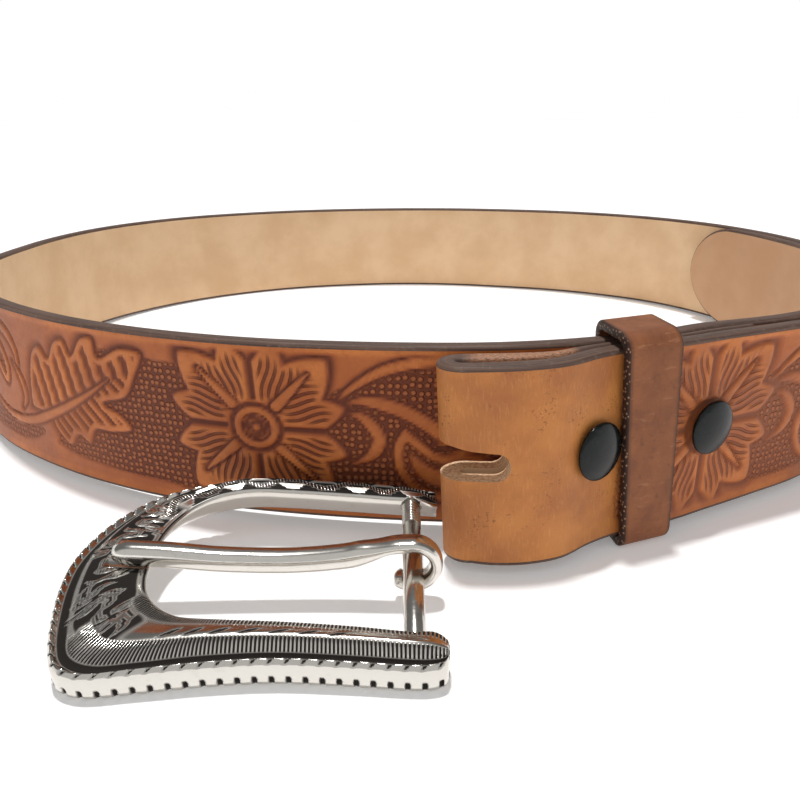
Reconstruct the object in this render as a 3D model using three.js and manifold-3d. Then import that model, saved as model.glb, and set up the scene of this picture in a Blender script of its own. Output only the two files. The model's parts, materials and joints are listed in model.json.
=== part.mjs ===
// Western belt of tooled leather, standing on its edge in a loop, with its loose buckle lying in front.
// Millimetres, +Z up, the wearer's front towards -Y. The origin is the middle of the underside.
import * as THREE from 'three';
import { mergeVertices } from 'three/addons/utils/BufferGeometryUtils.js';
import Module from 'manifold-3d';

const wasm = await Module();
wasm.setup();

// Strap: one leather strip that stands on edge in a spiral of a turn and a third.
const STRAP_WIDTH = 38.1;
const STRAP_THICKNESS = 3.7;
const EDGE_BEVEL = 0.7;
const LOOP_RADIUS = 137;
const TIP_ANGLE = 476.4;
const TIP_LENGTH = 24;

// Fold at the buckle end: the strip turns back on itself and its flap is thinned.
const FOLD_ANGLE = 3.1;
const FOLD_SLANT = -0.045;
const FOLD_DROOP = 0.35;
const FOLD_GAP = 2.1;
const FLAP_THICKNESS = 3.4;
const FLAP_SKIVED = 1.6;
const FLAP_END_ANGLE = 28.6;
const LAYER_GAP = 0.3;

// Prong slot through both layers of the fold. It and the snaps sit a little above half height.
const SLOT_LENGTH = 14.5;
const SLOT_HEIGHT = 5;
const FITTINGS_RISE = 0.8;

// Adjustment holes near the tip.
const HOLE_COUNT = 5;
const HOLE_DIAMETER = 5;
const HOLE_SPACING = 25.4;
const FIRST_HOLE_FROM_TIP = 88;

// Snaps that close the fold over the buckle bar.
const SNAP_ANGLES = [12.1, 23.2];
const CAP_DIAMETER = 11.1;
const CAP_HEIGHT = 1.8;
const POST_DIAMETER = 3.8;
const POST_FLANGE_DIAMETER = 9;
const POST_FLANGE_THICKNESS = 0.5;
const SEAT_GAP = 0.36;

// Keeper: a closed leather loop round the front strand, the flap and the tip strand.
const KEEPER_ANGLE = 16.8;
const KEEPER_WALL = 1.9;
const KEEPER_WIDTH = 11.5;
const KEEPER_CORNER = 3.4;
const KEEPER_CLEARANCE = 0.3;
const KEEPER_HEADROOM = 0.9;
const KEEPER_SLANT = -0.065;
const KEEPER_SKEW = 0.28;

// Buckle: a cast frame open at its right end, a bar between its arms and a prong that turns on the bar.
const BAR_DIAMETER = 3.5;
const BAR_HEIGHT = 3.7;
const BAR_SOCKET = 1.5;
const BAR_PLAY = 0.5;
const WINDOW_LENGTH = 46.2;
const END_WIDTH = 12.4;
const ARM_WIDTH = 6;
const ROPE_RADIUS = 0.8;
const ROPE_TOP = 4.9;
const FRAME_CREST = 6.9;
const INNER_LIP = 1.5;
const BUCKLE_TILT = 7.3;
const BUCKLE_BAR_X = 1.9;
const BUCKLE_CLEARANCE = 0.25;

// Prong.
const PRONG_DIAMETER = 4.2;
const PRONG_LOOP_WALL = 2.3;
const EYE_RISE = 0.8;
const PRONG_CLEARANCE = 0.3;
const EYE_TURN = [98, -140, 17];
const PRONG_OVERLAP = 4.4;

const DEGREE = Math.PI / 180;
const CENTRE_Y = 281;
const CENTRE_X = 4;

// The loop in plan, seen from above and counted from the front towards the right: the foot of the strap as
// a share of the loop's radius, and how far its top leans outwards as a share of the strap's width.
const LOOP = [
  { at: 3.1, radius: 1.072, lean: 0.03 },
  { at: 4.8, radius: 1.082, lean: 0.005 },
  { at: 7, radius: 1.086, lean: -0.005 },
  { at: 9.5, radius: 1.079, lean: -0.005 },
  { at: 12, radius: 1.055, lean: 0 },
  { at: 14.5, radius: 1.038, lean: 0.01 },
  { at: 17.3, radius: 1.031, lean: 0.025 },
  { at: 21, radius: 1.023, lean: 0.035 },
  { at: 25, radius: 1.014, lean: 0.05 },
  { at: 31, radius: 1.01, lean: 0.09 },
  { at: 37, radius: 1.014, lean: 0.12 },
  { at: 50, radius: 1.012, lean: 0.11 },
  { at: 70, radius: 0.996, lean: 0.04 },
  { at: 89, radius: 0.984, lean: -0.03 },
  { at: 103, radius: 0.993, lean: -0.06 },
  { at: 116, radius: 1.012, lean: -0.09 },
  { at: 128, radius: 1.019, lean: -0.09 },
  { at: 139, radius: 1.009, lean: -0.05 },
  { at: 149, radius: 0.999, lean: -0.02 },
  { at: 160, radius: 0.989, lean: 0 },
  { at: 171, radius: 0.998, lean: 0 },
  { at: 181, radius: 1.007, lean: 0 },
  { at: 192, radius: 1.014, lean: 0.03 },
  { at: 203, radius: 1.025, lean: 0.065 },
  { at: 214, radius: 1.031, lean: 0.1 },
  { at: 224, radius: 1.033, lean: 0.12 },
  { at: 236, radius: 1.03, lean: 0.09 },
  { at: 246, radius: 1.024, lean: 0.03 },
  { at: 257, radius: 1.003, lean: 0 },
  { at: 268, radius: 0.985, lean: -0.01 },
  { at: 280, radius: 0.982, lean: 0 },
  { at: 293, radius: 0.978, lean: 0 },
  { at: 306, radius: 0.972, lean: 0 },
  { at: 318, radius: 0.956, lean: 0.04 },
  { at: 327, radius: 0.948, lean: 0.07 },
  { at: 333, radius: 0.945, lean: 0.085 },
  { at: 340, radius: 0.942, lean: 0.105 },
  { at: 347, radius: 0.939, lean: 0.13 },
  { at: 353, radius: 0.941, lean: 0.13 },
  { at: 359, radius: 0.948, lean: 0.125 },
  { at: 365, radius: 0.96, lean: 0.11 },
  { at: 370, radius: 0.969, lean: 0.085 },
];

// From the keeper on, the inner strand follows the outer one: the room left between them, in millimetres
// past the flap where there is one.
const INNER_ROOM = [
  { at: 374.5, room: 1.2 },
  { at: 377.3, room: 0.8 },
  { at: 381, room: 1.1 },
  { at: 385, room: 1.6 },
  { at: 388.6, room: 1.1 },
  { at: 394, room: 2.0 },
  { at: 401, room: 1.3 },
  { at: 412, room: 1.0 },
  { at: 430, room: 0.9 },
  { at: 449, room: 0.8 },
  { at: 463, room: 0.8 },
  { at: 476.4, room: 0.8 },
];

// The folded end: how far the layers stand apart as a share of the fold's gap, and where the flap lies
// between its full and its thinned leather.
const FOLD = [
  { at: 3.1, gap: 1, thinned: 0 },
  { at: 5, gap: 1.05, thinned: 0.05 },
  { at: 7.5, gap: 0.9, thinned: 0.3 },
  { at: 10, gap: 0.5, thinned: 0.65 },
  { at: 12.5, gap: 0.1, thinned: 0.9 },
  { at: 14.5, gap: 0, thinned: 1 },
  { at: 21, gap: 0, thinned: 1.1 },
  { at: 28.6, gap: 0, thinned: 1.2 },
];

// The buckle frame from its near right end round to its far right end. Outer points are shares of the
// frame's length and half depth, inner points are shares of the window's length and half the bar's length.
const FRAME = [
  { outer: [0.085, -0.9], inner: [0.11, -1.085], crest: 0.72 },
  { outer: [0.073, -0.965], inner: [0.1, -1.035], crest: 0.8 },
  { outer: [0.037, -1.0], inner: [0.056, -1.005], crest: 0.94 },
  { outer: [-0.026, -1.0], inner: [-0.032, -1.0], crest: 1 },
  { outer: [-0.153, -0.97], inner: [-0.195, -0.94], crest: 1 },
  { outer: [-0.35, -0.938], inner: [-0.433, -0.877], crest: 1 },
  { outer: [-0.529, -0.96], inner: [-0.649, -0.84], crest: 1 },
  { outer: [-0.7, -1.01], inner: [-0.79, -0.8], crest: 0.97 },
  { outer: [-0.819, -1.04], inner: [-0.866, -0.705], crest: 0.92 },
  { outer: [-0.894, -0.972], inner: [-0.922, -0.565], crest: 0.86 },
  { outer: [-0.935, -0.81], inner: [-0.961, -0.41], crest: 0.83 },
  { outer: [-0.969, -0.553], inner: [-0.985, -0.228], crest: 0.82 },
  { outer: [-0.995, -0.257], inner: [-0.996, -0.026], crest: 0.81 },
  { outer: [-1.0, 0.04], inner: [-1.0, 0.181], crest: 0.81 },
  { outer: [-0.966, 0.36], inner: [-0.991, 0.44], crest: 0.82 },
  { outer: [-0.902, 0.645], inner: [-0.961, 0.685], crest: 0.84 },
  { outer: [-0.812, 0.862], inner: [-0.9, 0.913], crest: 0.88 },
  { outer: [-0.7, 0.99], inner: [-0.8, 1.089], crest: 0.94 },
  { outer: [-0.563, 1.065], inner: [-0.667, 1.178], crest: 1 },
  { outer: [-0.41, 1.06], inner: [-0.487, 1.15], crest: 1 },
  { outer: [-0.222, 1.012], inner: [-0.238, 1.068], crest: 1 },
  { outer: [-0.068, 0.96], inner: [-0.076, 1.012], crest: 1 },
  { outer: [0.017, 0.917], inner: [0.022, 0.996], crest: 0.94 },
  { outer: [0.061, 0.878], inner: [0.078, 0.996], crest: 0.8 },
  { outer: [0.082, 0.83], inner: [0.106, 1.016], crest: 0.72 },
];

// The prong's centre line left of its eye: distance from the bar as a share of its reach, and height above
// the bar as a share of the eye's top.
const PRONG = [
  { along: 0.072, above: 0.93 },
  { along: 0.15, above: 0.68 },
  { along: 0.24, above: 0.46 },
  { along: 0.42, above: 0.32 },
  { along: 0.64, above: 0.4 },
  { along: 0.83, above: 0.62 },
  { along: 1, above: 0.74 },
];

const barClear = STRAP_WIDTH + BAR_PLAY;
const frameLength = WINDOW_LENGTH + END_WIDTH;
const frameHalfDepth = barClear / 2 + ARM_WIDTH;
const strapLift = KEEPER_WALL + KEEPER_CLEARANCE;

// A smooth value of one column of a table at a place between its rows.
function smooth(rows, key, column, place) {
  let i = rows.findIndex((row) => row[key] > place);
  if (i < 0) i = rows.length - 1;
  i = Math.max(i, 1);
  const slope = (j) => {
    const low = Math.max(j - 1, 0);
    const high = Math.min(j + 1, rows.length - 1);
    return (rows[high][column] - rows[low][column]) / (rows[high][key] - rows[low][key]);
  };
  const a = rows[i - 1];
  const b = rows[i];
  const span = b[key] - a[key];
  const t = Math.min(Math.max((place - a[key]) / span, 0), 1);
  const t2 = t * t;
  const t3 = t2 * t;
  return a[column] * (2 * t3 - 3 * t2 + 1) + slope(i - 1) * span * (t3 - 2 * t2 + t)
    + b[column] * (3 * t2 - 2 * t3) + slope(i) * span * (t3 - t2);
}

const outerRadius = (angle) => LOOP_RADIUS * smooth(LOOP, 'at', 'radius', angle);
const flapThickness = (angle) => FLAP_THICKNESS
  + (FLAP_SKIVED - FLAP_THICKNESS) * smooth(FOLD, 'at', 'thinned', angle);
const layerGap = (angle) => LAYER_GAP + FOLD_GAP * smooth(FOLD, 'at', 'gap', angle);
const flapRadius = (angle) => outerRadius(angle) - STRAP_THICKNESS / 2 - layerGap(angle)
  - flapThickness(angle) / 2;

// All stations of the strip, with the inner strand worked out from the outer one in front of it.
const lastFree = LOOP[LOOP.length - 1].at;
const spiral = LOOP.map((row) => ({ at: row.at, radius: LOOP_RADIUS * row.radius, lean: row.lean }));
for (const { at, room } of INNER_ROOM) {
  const front = at - 360;
  const flap = front <= FLAP_END_ANGLE + 0.1 ? LAYER_GAP + flapThickness(front) : 0;
  spiral.push({
    at,
    radius: outerRadius(front) - STRAP_THICKNESS - flap - room,
    lean: smooth(LOOP, 'at', 'lean', front),
  });
}

function polar(angle, radius) {
  return new THREE.Vector2(
    CENTRE_X + radius * Math.sin(angle * DEGREE),
    CENTRE_Y - radius * Math.cos(angle * DEGREE),
  );
}

// The strip lies level at the back and is lifted at the front, where the keeper's wall is under it.
const backY = CENTRE_Y + LOOP_RADIUS;
const keeperY = polar(KEEPER_ANGLE, outerRadius(KEEPER_ANGLE)).y;
const liftAt = (y) => Math.max(0, (strapLift * (backY - y)) / (backY - keeperY));

// The folded end lies a little askew and hangs lower than the rest, fading out towards the keeper.
const FOLD_FADE = 9;
const nearFold = (angle) => THREE.MathUtils.clamp(1 - (angle - FOLD_ANGLE) / FOLD_FADE, 0, 1);
const fittingHeight = STRAP_WIDTH / 2 + FITTINGS_RISE;

// A closed solid lofted through rings of points, with flat ends.
function loft(rings) {
  const count = rings[0].length;
  const positions = rings.flat().flatMap((p) => [p.x, p.y, p.z]);
  const index = [];
  for (let i = 0; i + 1 < rings.length; i += 1) {
    for (let j = 0; j < count; j += 1) {
      const a = i * count + j;
      const b = i * count + ((j + 1) % count);
      index.push(a, b, a + count, b, b + count, a + count);
    }
  }
  const faces = (ring) => THREE.ShapeUtils.triangulateShape(flatten(ring), []);
  const last = (rings.length - 1) * count;
  for (const [a, b, c] of faces(rings[0])) index.push(a, c, b);
  for (const [a, b, c] of faces(rings[rings.length - 1])) index.push(last + a, last + b, last + c);
  const geometry = new THREE.BufferGeometry();
  geometry.setAttribute('position', new THREE.Float32BufferAttribute(positions, 3));
  geometry.setIndex(index);
  return outward(geometry);
}

// The ring's points in its own plane, kept in the ring's own turning sense.
function flatten(ring) {
  const normal = new THREE.Vector3();
  ring.forEach((p, i) => normal.add(p.clone().cross(ring[(i + 1) % ring.length])));
  normal.normalize();
  const across = ring[1].clone().sub(ring[0]).normalize();
  const up = normal.clone().cross(across);
  return ring.map((p) => new THREE.Vector2(p.dot(across), p.dot(up)));
}

// Turns a closed geometry's faces outwards.
function outward(geometry) {
  const p = geometry.attributes.position;
  const index = geometry.index.array;
  const corner = [new THREE.Vector3(), new THREE.Vector3(), new THREE.Vector3()];
  let volume = 0;
  for (let i = 0; i < index.length; i += 3) {
    corner.forEach((v, k) => v.fromBufferAttribute(p, index[i + k]));
    volume += corner[0].dot(corner[1].clone().cross(corner[2]));
  }
  if (volume < 0) {
    for (let i = 0; i < index.length; i += 3) [index[i], index[i + 1]] = [index[i + 1], index[i]];
  }
  return geometry;
}

function toSolid(source) {
  const plain = source.clone();
  plain.deleteAttribute('normal');
  plain.deleteAttribute('uv');
  const merged = mergeVertices(plain, 1e-4);
  return new wasm.Manifold(new wasm.Mesh({
    numProp: 3,
    vertProperties: new Float32Array(merged.attributes.position.array),
    triVerts: new Uint32Array(merged.index.array),
  }));
}

function toGeometry(solid) {
  const mesh = solid.getMesh();
  const geometry = new THREE.BufferGeometry();
  geometry.setAttribute('position', new THREE.Float32BufferAttribute(mesh.vertProperties, 3));
  geometry.setIndex(new THREE.Uint32BufferAttribute(mesh.triVerts, 1));
  return geometry;
}

function cut(geometry, cutters) {
  return toGeometry(cutters.reduce((solid, cutter) => solid.subtract(toSolid(cutter)), toSolid(geometry)));
}

// The frame of the strap at an angle: the foot of its centre line, its outward normal and its direction.
function strandAt(radiusAt, angle) {
  const step = 0.25;
  const foot = polar(angle, radiusAt(angle));
  const along = polar(angle + step, radiusAt(angle + step))
    .sub(polar(angle - step, radiusAt(angle - step))).normalize();
  return { foot, along, out: new THREE.Vector2(along.y, -along.x) };
}

const spiralRadius = (angle) => smooth(spiral, 'at', 'radius', Math.min(angle, TIP_ANGLE));
const spiralLean = (angle) => smooth(spiral, 'at', 'lean', Math.min(angle, TIP_ANGLE));

// One cross section of the strip: a tall rectangle with bevelled edges that leans from its foot.
function strapSection(foot, out, thickness, lean, angle, halfHeight = STRAP_WIDTH / 2) {
  const half = thickness / 2;
  const bevel = Math.min(EDGE_BEVEL, thickness / 3, halfHeight / 3);
  const corners = [
    [half - bevel, -halfHeight], [half, bevel - halfHeight], [half, halfHeight - bevel],
    [half - bevel, halfHeight], [bevel - half, halfHeight], [-half, halfHeight - bevel],
    [-half, bevel - halfHeight], [bevel - half, -halfHeight],
  ];
  const base = liftAt(foot.y) - FOLD_DROOP * nearFold(angle);
  const away = new THREE.Vector2(Math.sin(angle * DEGREE), -Math.cos(angle * DEGREE));
  const around = new THREE.Vector2(Math.cos(angle * DEGREE), Math.sin(angle * DEGREE));
  return corners.map(([across, up]) => {
    const height = STRAP_WIDTH / 2 + up;
    const slid = FOLD_SLANT * nearFold(angle) * (height - STRAP_WIDTH / 2);
    const place = foot.clone().addScaledVector(out, across).addScaledVector(away, lean * height)
      .addScaledVector(around, slid);
    return new THREE.Vector3(place.x, place.y, base + height);
  });
}

function strapRings() {
  const rings = [];
  const flapStep = 1.3;
  for (let angle = FLAP_END_ANGLE; angle > FOLD_ANGLE + flapStep / 2; angle -= flapStep) {
    const { foot, out } = strandAt(flapRadius, angle);
    rings.push(strapSection(foot, out.negate(), flapThickness(angle), spiralLean(angle), angle));
  }
  const front = polar(FOLD_ANGLE, outerRadius(FOLD_ANGLE));
  const back = polar(FOLD_ANGLE, flapRadius(FOLD_ANGLE));
  const middle = front.clone().add(back).multiplyScalar(0.5);
  const turn = front.distanceTo(back) / 2;
  const turnSteps = 8;
  for (let i = 0; i <= turnSteps; i += 1) {
    const t = i / turnSteps;
    const out = new THREE.Vector2(0, 1).rotateAround(new THREE.Vector2(), t * Math.PI + FOLD_ANGLE * DEGREE);
    const thickness = FLAP_THICKNESS + (STRAP_THICKNESS - FLAP_THICKNESS) * t;
    const foot = middle.clone().addScaledVector(out, turn);
    rings.push(strapSection(foot, out, thickness, spiralLean(FOLD_ANGLE), FOLD_ANGLE));
  }
  const tipFrom = TIP_ANGLE - TIP_LENGTH / (spiralRadius(TIP_ANGLE) * DEGREE);
  const fineStep = 1.3;
  const coarseStep = 2.6;
  let angle = FOLD_ANGLE + fineStep;
  while (angle < tipFrom) {
    const { foot, out } = strandAt(spiralRadius, angle);
    rings.push(strapSection(foot, out, STRAP_THICKNESS, spiralLean(angle), angle));
    const nearFront = angle < 36 || (angle > 354 && angle < 392);
    angle += nearFront ? fineStep : coarseStep;
  }
  const tipSteps = 11;
  for (let i = 0; i < tipSteps; i += 1) {
    const turned = (i / tipSteps) * (Math.PI / 2);
    const at = tipFrom + (TIP_ANGLE - tipFrom) * Math.sin(turned);
    const { foot, out } = strandAt(spiralRadius, at);
    const half = (STRAP_WIDTH / 2) * Math.cos(turned);
    rings.push(strapSection(foot, out, STRAP_THICKNESS, spiralLean(at), at, half));
  }
  return rings;
}

// A place on the strap's centre plane at a height, and its outward direction with the lean taken in.
function faceAt(radiusAt, angle, height = fittingHeight) {
  const { foot, out } = strandAt(radiusAt, angle);
  const lean = spiralLean(angle);
  const place = foot.clone().addScaledVector(out, lean * height);
  const point = new THREE.Vector3(place.x, place.y, liftAt(foot.y) + height);
  return { point, normal: new THREE.Vector3(out.x, out.y, -lean).normalize() };
}

// A cylinder or lathe made along +Y is stood on a point and turned to a direction.
function aim(geometry, point, direction) {
  const turn = new THREE.Quaternion().setFromUnitVectors(new THREE.Vector3(0, 1, 0), direction);
  return geometry.applyQuaternion(turn).translate(point.x, point.y, point.z);
}

const snapHole = POST_DIAMETER + 2 * SEAT_GAP;

// How far a disc's seat lies from the centre of the front strand, so that it clears the bent leather under
// it: outwards on the grain side, or inwards behind the flap.
function seatOffset(angle, radius, side) {
  const { foot, out } = strandAt(outerRadius, angle);
  const half = radius / (outerRadius(angle) * DEGREE);
  let offset = 0;
  for (const at of [angle - half, angle - half / 2, angle, angle + half / 2, angle + half]) {
    const radiusAt = side > 0 ? outerRadius : flapRadius;
    const thickness = side > 0 ? STRAP_THICKNESS : flapThickness(at);
    const strand = strandAt(radiusAt, at);
    const face = strand.foot.addScaledVector(strand.out, (side * thickness) / 2);
    const distance = face.sub(foot).dot(out);
    for (const height of [fittingHeight - radius, fittingHeight + radius]) {
      const leaned = (spiralLean(at) - spiralLean(angle)) * height;
      offset = Math.max(offset, side * (distance + leaned));
    }
  }
  return offset;
}

function snapHoleCutter(angle) {
  const { point, normal } = faceAt(outerRadius, angle);
  const inside = seatOffset(angle, snapHole / 2, -1) + POST_FLANGE_THICKNESS;
  const outside = STRAP_THICKNESS;
  const hole = new THREE.CylinderGeometry(snapHole / 2, snapHole / 2, inside + outside, 16);
  return aim(hole.translate(0, (outside - inside) / 2, 0), point, normal);
}

function tipHoleCutter(number) {
  const fromTip = FIRST_HOLE_FROM_TIP + number * HOLE_SPACING;
  const angle = TIP_ANGLE - fromTip / (spiralRadius(TIP_ANGLE) * DEGREE);
  const { point, normal } = faceAt(spiralRadius, angle, STRAP_WIDTH / 2);
  const reach = STRAP_THICKNESS / 2 + LAYER_GAP;
  const hole = new THREE.CylinderGeometry(HOLE_DIAMETER / 2, HOLE_DIAMETER / 2, 2 * reach, 16);
  return aim(hole, point, normal);
}

// The prong slot: a flat bar with one round end, from past the fold to its depth, through both layers.
function slotCutter() {
  const nose = polar(FOLD_ANGLE, (outerRadius(FOLD_ANGLE) + flapRadius(FOLD_ANGLE)) / 2);
  const half = SLOT_HEIGHT / 2;
  const end = SLOT_LENGTH - (outerRadius(FOLD_ANGLE) - flapRadius(FOLD_ANGLE)) / 2 - STRAP_THICKNESS / 2;
  const shape = new THREE.Shape();
  shape.moveTo(-SLOT_LENGTH, -half);
  shape.lineTo(end - half, -half);
  shape.absarc(end - half, 0, half, -Math.PI / 2, Math.PI / 2, false);
  shape.lineTo(-SLOT_LENGTH, half);
  shape.closePath();
  const towards = outerRadius(7) - flapRadius(7) + STRAP_THICKNESS;
  const behind = flapThickness(FOLD_ANGLE) + 1.2;
  const bar = new THREE.ExtrudeGeometry(shape, { depth: towards + behind, bevelEnabled: false, curveSegments: 8 });
  bar.rotateX(Math.PI / 2);
  const slotBack = polar(FOLD_ANGLE, flapRadius(FOLD_ANGLE)).y + behind;
  return bar.translate(nose.x, slotBack, liftAt(nose.y) + fittingHeight);
}

function strapGeometry() {
  const holes = Array.from({ length: HOLE_COUNT }, (_, i) => tipHoleCutter(i));
  return cut(loft(strapRings()), [slotCutter(), ...SNAP_ANGLES.map(snapHoleCutter), ...holes]);
}

// A snap cap: a low dome with a flat back, seated just off the strap's outer face.
function capGeometry(angle) {
  const radius = CAP_DIAMETER / 2;
  const steps = 6;
  const profile = [new THREE.Vector2(0, 0), new THREE.Vector2(radius - 0.4, 0)];
  for (let i = 0; i <= steps; i += 1) {
    const t = (i / steps) * (Math.PI / 2);
    profile.push(new THREE.Vector2(i === steps ? 0 : radius * Math.cos(t), 0.5 + (CAP_HEIGHT - 0.5) * Math.sin(t)));
  }
  const { point, normal } = faceAt(outerRadius, angle);
  const seat = point.clone().addScaledVector(normal, seatOffset(angle, radius, 1) + SEAT_GAP);
  return aim(new THREE.LatheGeometry(profile, 24), seat, normal);
}

// A snap post: a pin through both layers with a thin flange behind the flap.
function postGeometry(angle) {
  const radius = POST_DIAMETER / 2;
  const flange = POST_FLANGE_DIAMETER / 2;
  const back = -(seatOffset(angle, flange, -1) + SEAT_GAP + POST_FLANGE_THICKNESS);
  const front = seatOffset(angle, CAP_DIAMETER / 2, 1);
  const profile = [
    new THREE.Vector2(0, back),
    new THREE.Vector2(flange, back),
    new THREE.Vector2(flange, back + POST_FLANGE_THICKNESS),
    new THREE.Vector2(radius, back + POST_FLANGE_THICKNESS),
    new THREE.Vector2(radius, front),
    new THREE.Vector2(0, front),
  ];
  const { point, normal } = faceAt(outerRadius, angle);
  return aim(new THREE.LatheGeometry(profile, 16), point, normal);
}

function roundedRectangle(target, left, bottom, right, top, corner) {
  target.moveTo(left + corner, bottom);
  target.lineTo(right - corner, bottom);
  target.absarc(right - corner, bottom + corner, corner, -Math.PI / 2, 0, false);
  target.lineTo(right, top - corner);
  target.absarc(right - corner, top - corner, corner, 0, Math.PI / 2, false);
  target.lineTo(left + corner, top);
  target.absarc(left + corner, top - corner, corner, Math.PI / 2, Math.PI, false);
  target.lineTo(left, bottom + corner);
  target.absarc(left + corner, bottom + corner, corner, Math.PI, 1.5 * Math.PI, false);
  return target;
}

// The keeper: a rounded loop whose faces follow the strands that it holds at both of its edges.
function keeperGeometry() {
  const { foot, along, out } = strandAt(outerRadius, KEEPER_ANGLE);
  const lean = spiralLean(KEEPER_ANGLE);
  const height = STRAP_WIDTH + 2 * (KEEPER_WALL + KEEPER_CLEARANCE) + KEEPER_HEADROOM;
  const halfRun = (KEEPER_WIDTH + Math.abs(KEEPER_SLANT) * height) / 2;
  const skewed = KEEPER_SKEW * (outerRadius(KEEPER_ANGLE) - spiralRadius(KEEPER_ANGLE + 360));
  const turnOf = (run) => run / (outerRadius(KEEPER_ANGLE) * DEGREE);
  let front = 0;
  let back = 0;
  for (const side of [-1, -0.5, 0, 0.5, 1]) {
    const angle = KEEPER_ANGLE + turnOf(side * halfRun);
    const behind = angle + 360 + turnOf(skewed);
    const outer = strandAt(outerRadius, angle).foot.sub(foot).dot(out);
    const inner = strandAt(spiralRadius, behind).foot.sub(foot).dot(out);
    const outerLean = Math.max(0, (spiralLean(angle) - lean) * STRAP_WIDTH);
    const innerLean = Math.min(0, (spiralLean(behind) - lean) * STRAP_WIDTH);
    front = Math.max(front, outer + STRAP_THICKNESS / 2 + outerLean);
    back = Math.min(back, inner - STRAP_THICKNESS / 2 + innerLean);
  }
  front += KEEPER_CLEARANCE;
  back -= KEEPER_CLEARANCE;
  const shape = roundedRectangle(
    new THREE.Shape(), back - KEEPER_WALL, 0, front + KEEPER_WALL, height, KEEPER_CORNER,
  );
  const corner = KEEPER_CORNER - KEEPER_WALL;
  shape.holes.push(roundedRectangle(
    new THREE.Path(), back, KEEPER_WALL, front, height - KEEPER_WALL, corner,
  ));
  const geometry = new THREE.ExtrudeGeometry(shape, { depth: KEEPER_WIDTH, bevelEnabled: false, curveSegments: 5 });
  const p = geometry.attributes.position;
  for (let i = 0; i < p.count; i += 1) {
    const across = p.getX(i) + lean * p.getY(i);
    const run = p.getZ(i) - KEEPER_WIDTH / 2 + KEEPER_SLANT * (p.getY(i) - height / 2)
      + KEEPER_SKEW * Math.max(0, front - p.getX(i));
    const place = foot.clone().addScaledVector(out, across).addScaledVector(along, run);
    p.setXYZ(i, place.x, place.y, p.getY(i));
  }
  geometry.deleteAttribute('normal');
  geometry.deleteAttribute('uv');
  return outward(mergeVertices(geometry, 1e-4));
}

// A curve through the points of one column of the frame's table, open at its two ends.
function frameCurve(column, length, half) {
  const points = FRAME.map((row) => new THREE.Vector3(row[column][0] * length, row[column][1] * half, 0));
  return new THREE.CatmullRomCurve3(points, false, 'centripetal');
}

// One section across the frame's rim, from the foot of its outer wall over the rope edge and the dome to
// the inner lip and back under.
function frameSection(outer, inner, crest) {
  const width = outer.distanceTo(inner);
  const inwards = inner.clone().sub(outer).normalize();
  const groove = Math.min(2 * ROPE_RADIUS, width * 0.4);
  const dome = width - groove;
  const top = FRAME_CREST * crest;
  const profile = [
    [0.5, 0],
    [0, 0.7],
    [0, ROPE_TOP - 1.6],
    [0.1, ROPE_TOP - 0.6],
    [groove / 2, ROPE_TOP],
    [groove, ROPE_TOP - 0.6],
    [groove + dome * 0.28, ROPE_TOP - 0.6 + (top - ROPE_TOP + 0.6) * 0.75],
    [groove + dome * 0.52, top],
    [groove + dome * 0.8, top - 0.5],
    [width + INNER_LIP * 0.9, Math.min(top - 0.8, ROPE_TOP + 0.8)],
    [width + INNER_LIP, Math.min(top - 1.4, ROPE_TOP)],
    [width + INNER_LIP * 0.2, 2.4],
    [width - 0.4, 1.6],
    [width * 0.8, 0],
  ];
  return profile.map(([in_, z]) => {
    const place = outer.clone().addScaledVector(inwards, in_);
    return new THREE.Vector3(place.x, place.y, z);
  });
}

function frameGeometry() {
  const outer = frameCurve('outer', frameLength, frameHalfDepth);
  const inner = frameCurve('inner', WINDOW_LENGTH, barClear / 2);
  const crests = FRAME.map((row, i) => ({ at: i, crest: row.crest }));
  const stepsPerRow = 4;
  const count = (FRAME.length - 1) * stepsPerRow;
  const rings = [];
  for (let i = 0; i <= count; i += 1) {
    const t = i / count;
    const crest = smooth(crests, 'at', 'crest', i / stepsPerRow);
    rings.push(frameSection(outer.getPoint(t), inner.getPoint(t), crest));
  }
  const socket = BAR_DIAMETER / 2 + SEAT_GAP;
  const sockets = new THREE.CylinderGeometry(socket, socket, barClear + 2 * (BAR_SOCKET + SEAT_GAP), 16)
    .translate(0, 0, BAR_HEIGHT);
  const notch = prongTube(PRONG_CLEARANCE, false);
  return cut(loft(rings), [sockets, notch]);
}

function barGeometry() {
  const radius = BAR_DIAMETER / 2;
  return new THREE.CylinderGeometry(radius, radius, barClear + 2 * BAR_SOCKET, 20).translate(0, 0, BAR_HEIGHT);
}

// The prong's centre line from its tip to the bar and round it, in the plane across the bar.
function prongPath() {
  const reach = WINDOW_LENGTH + PRONG_OVERLAP;
  const mean = BAR_DIAMETER / 2 + PRONG_CLEARANCE + EYE_RISE + PRONG_LOOP_WALL / 2;
  const eye = BAR_HEIGHT + EYE_RISE;
  const points = PRONG.map((row) => new THREE.Vector3(
    -row.along * reach, 0, BAR_HEIGHT + row.above * (mean + EYE_RISE),
  )).reverse();
  const [from, to, step] = EYE_TURN;
  for (let angle = from; angle >= to; angle -= step) {
    const turned = angle * DEGREE;
    points.push(new THREE.Vector3(mean * Math.cos(turned), 0, eye + mean * Math.sin(turned)));
  }
  return { curve: new THREE.CatmullRomCurve3(points, false, 'centripetal'), count: points.length };
}

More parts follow.
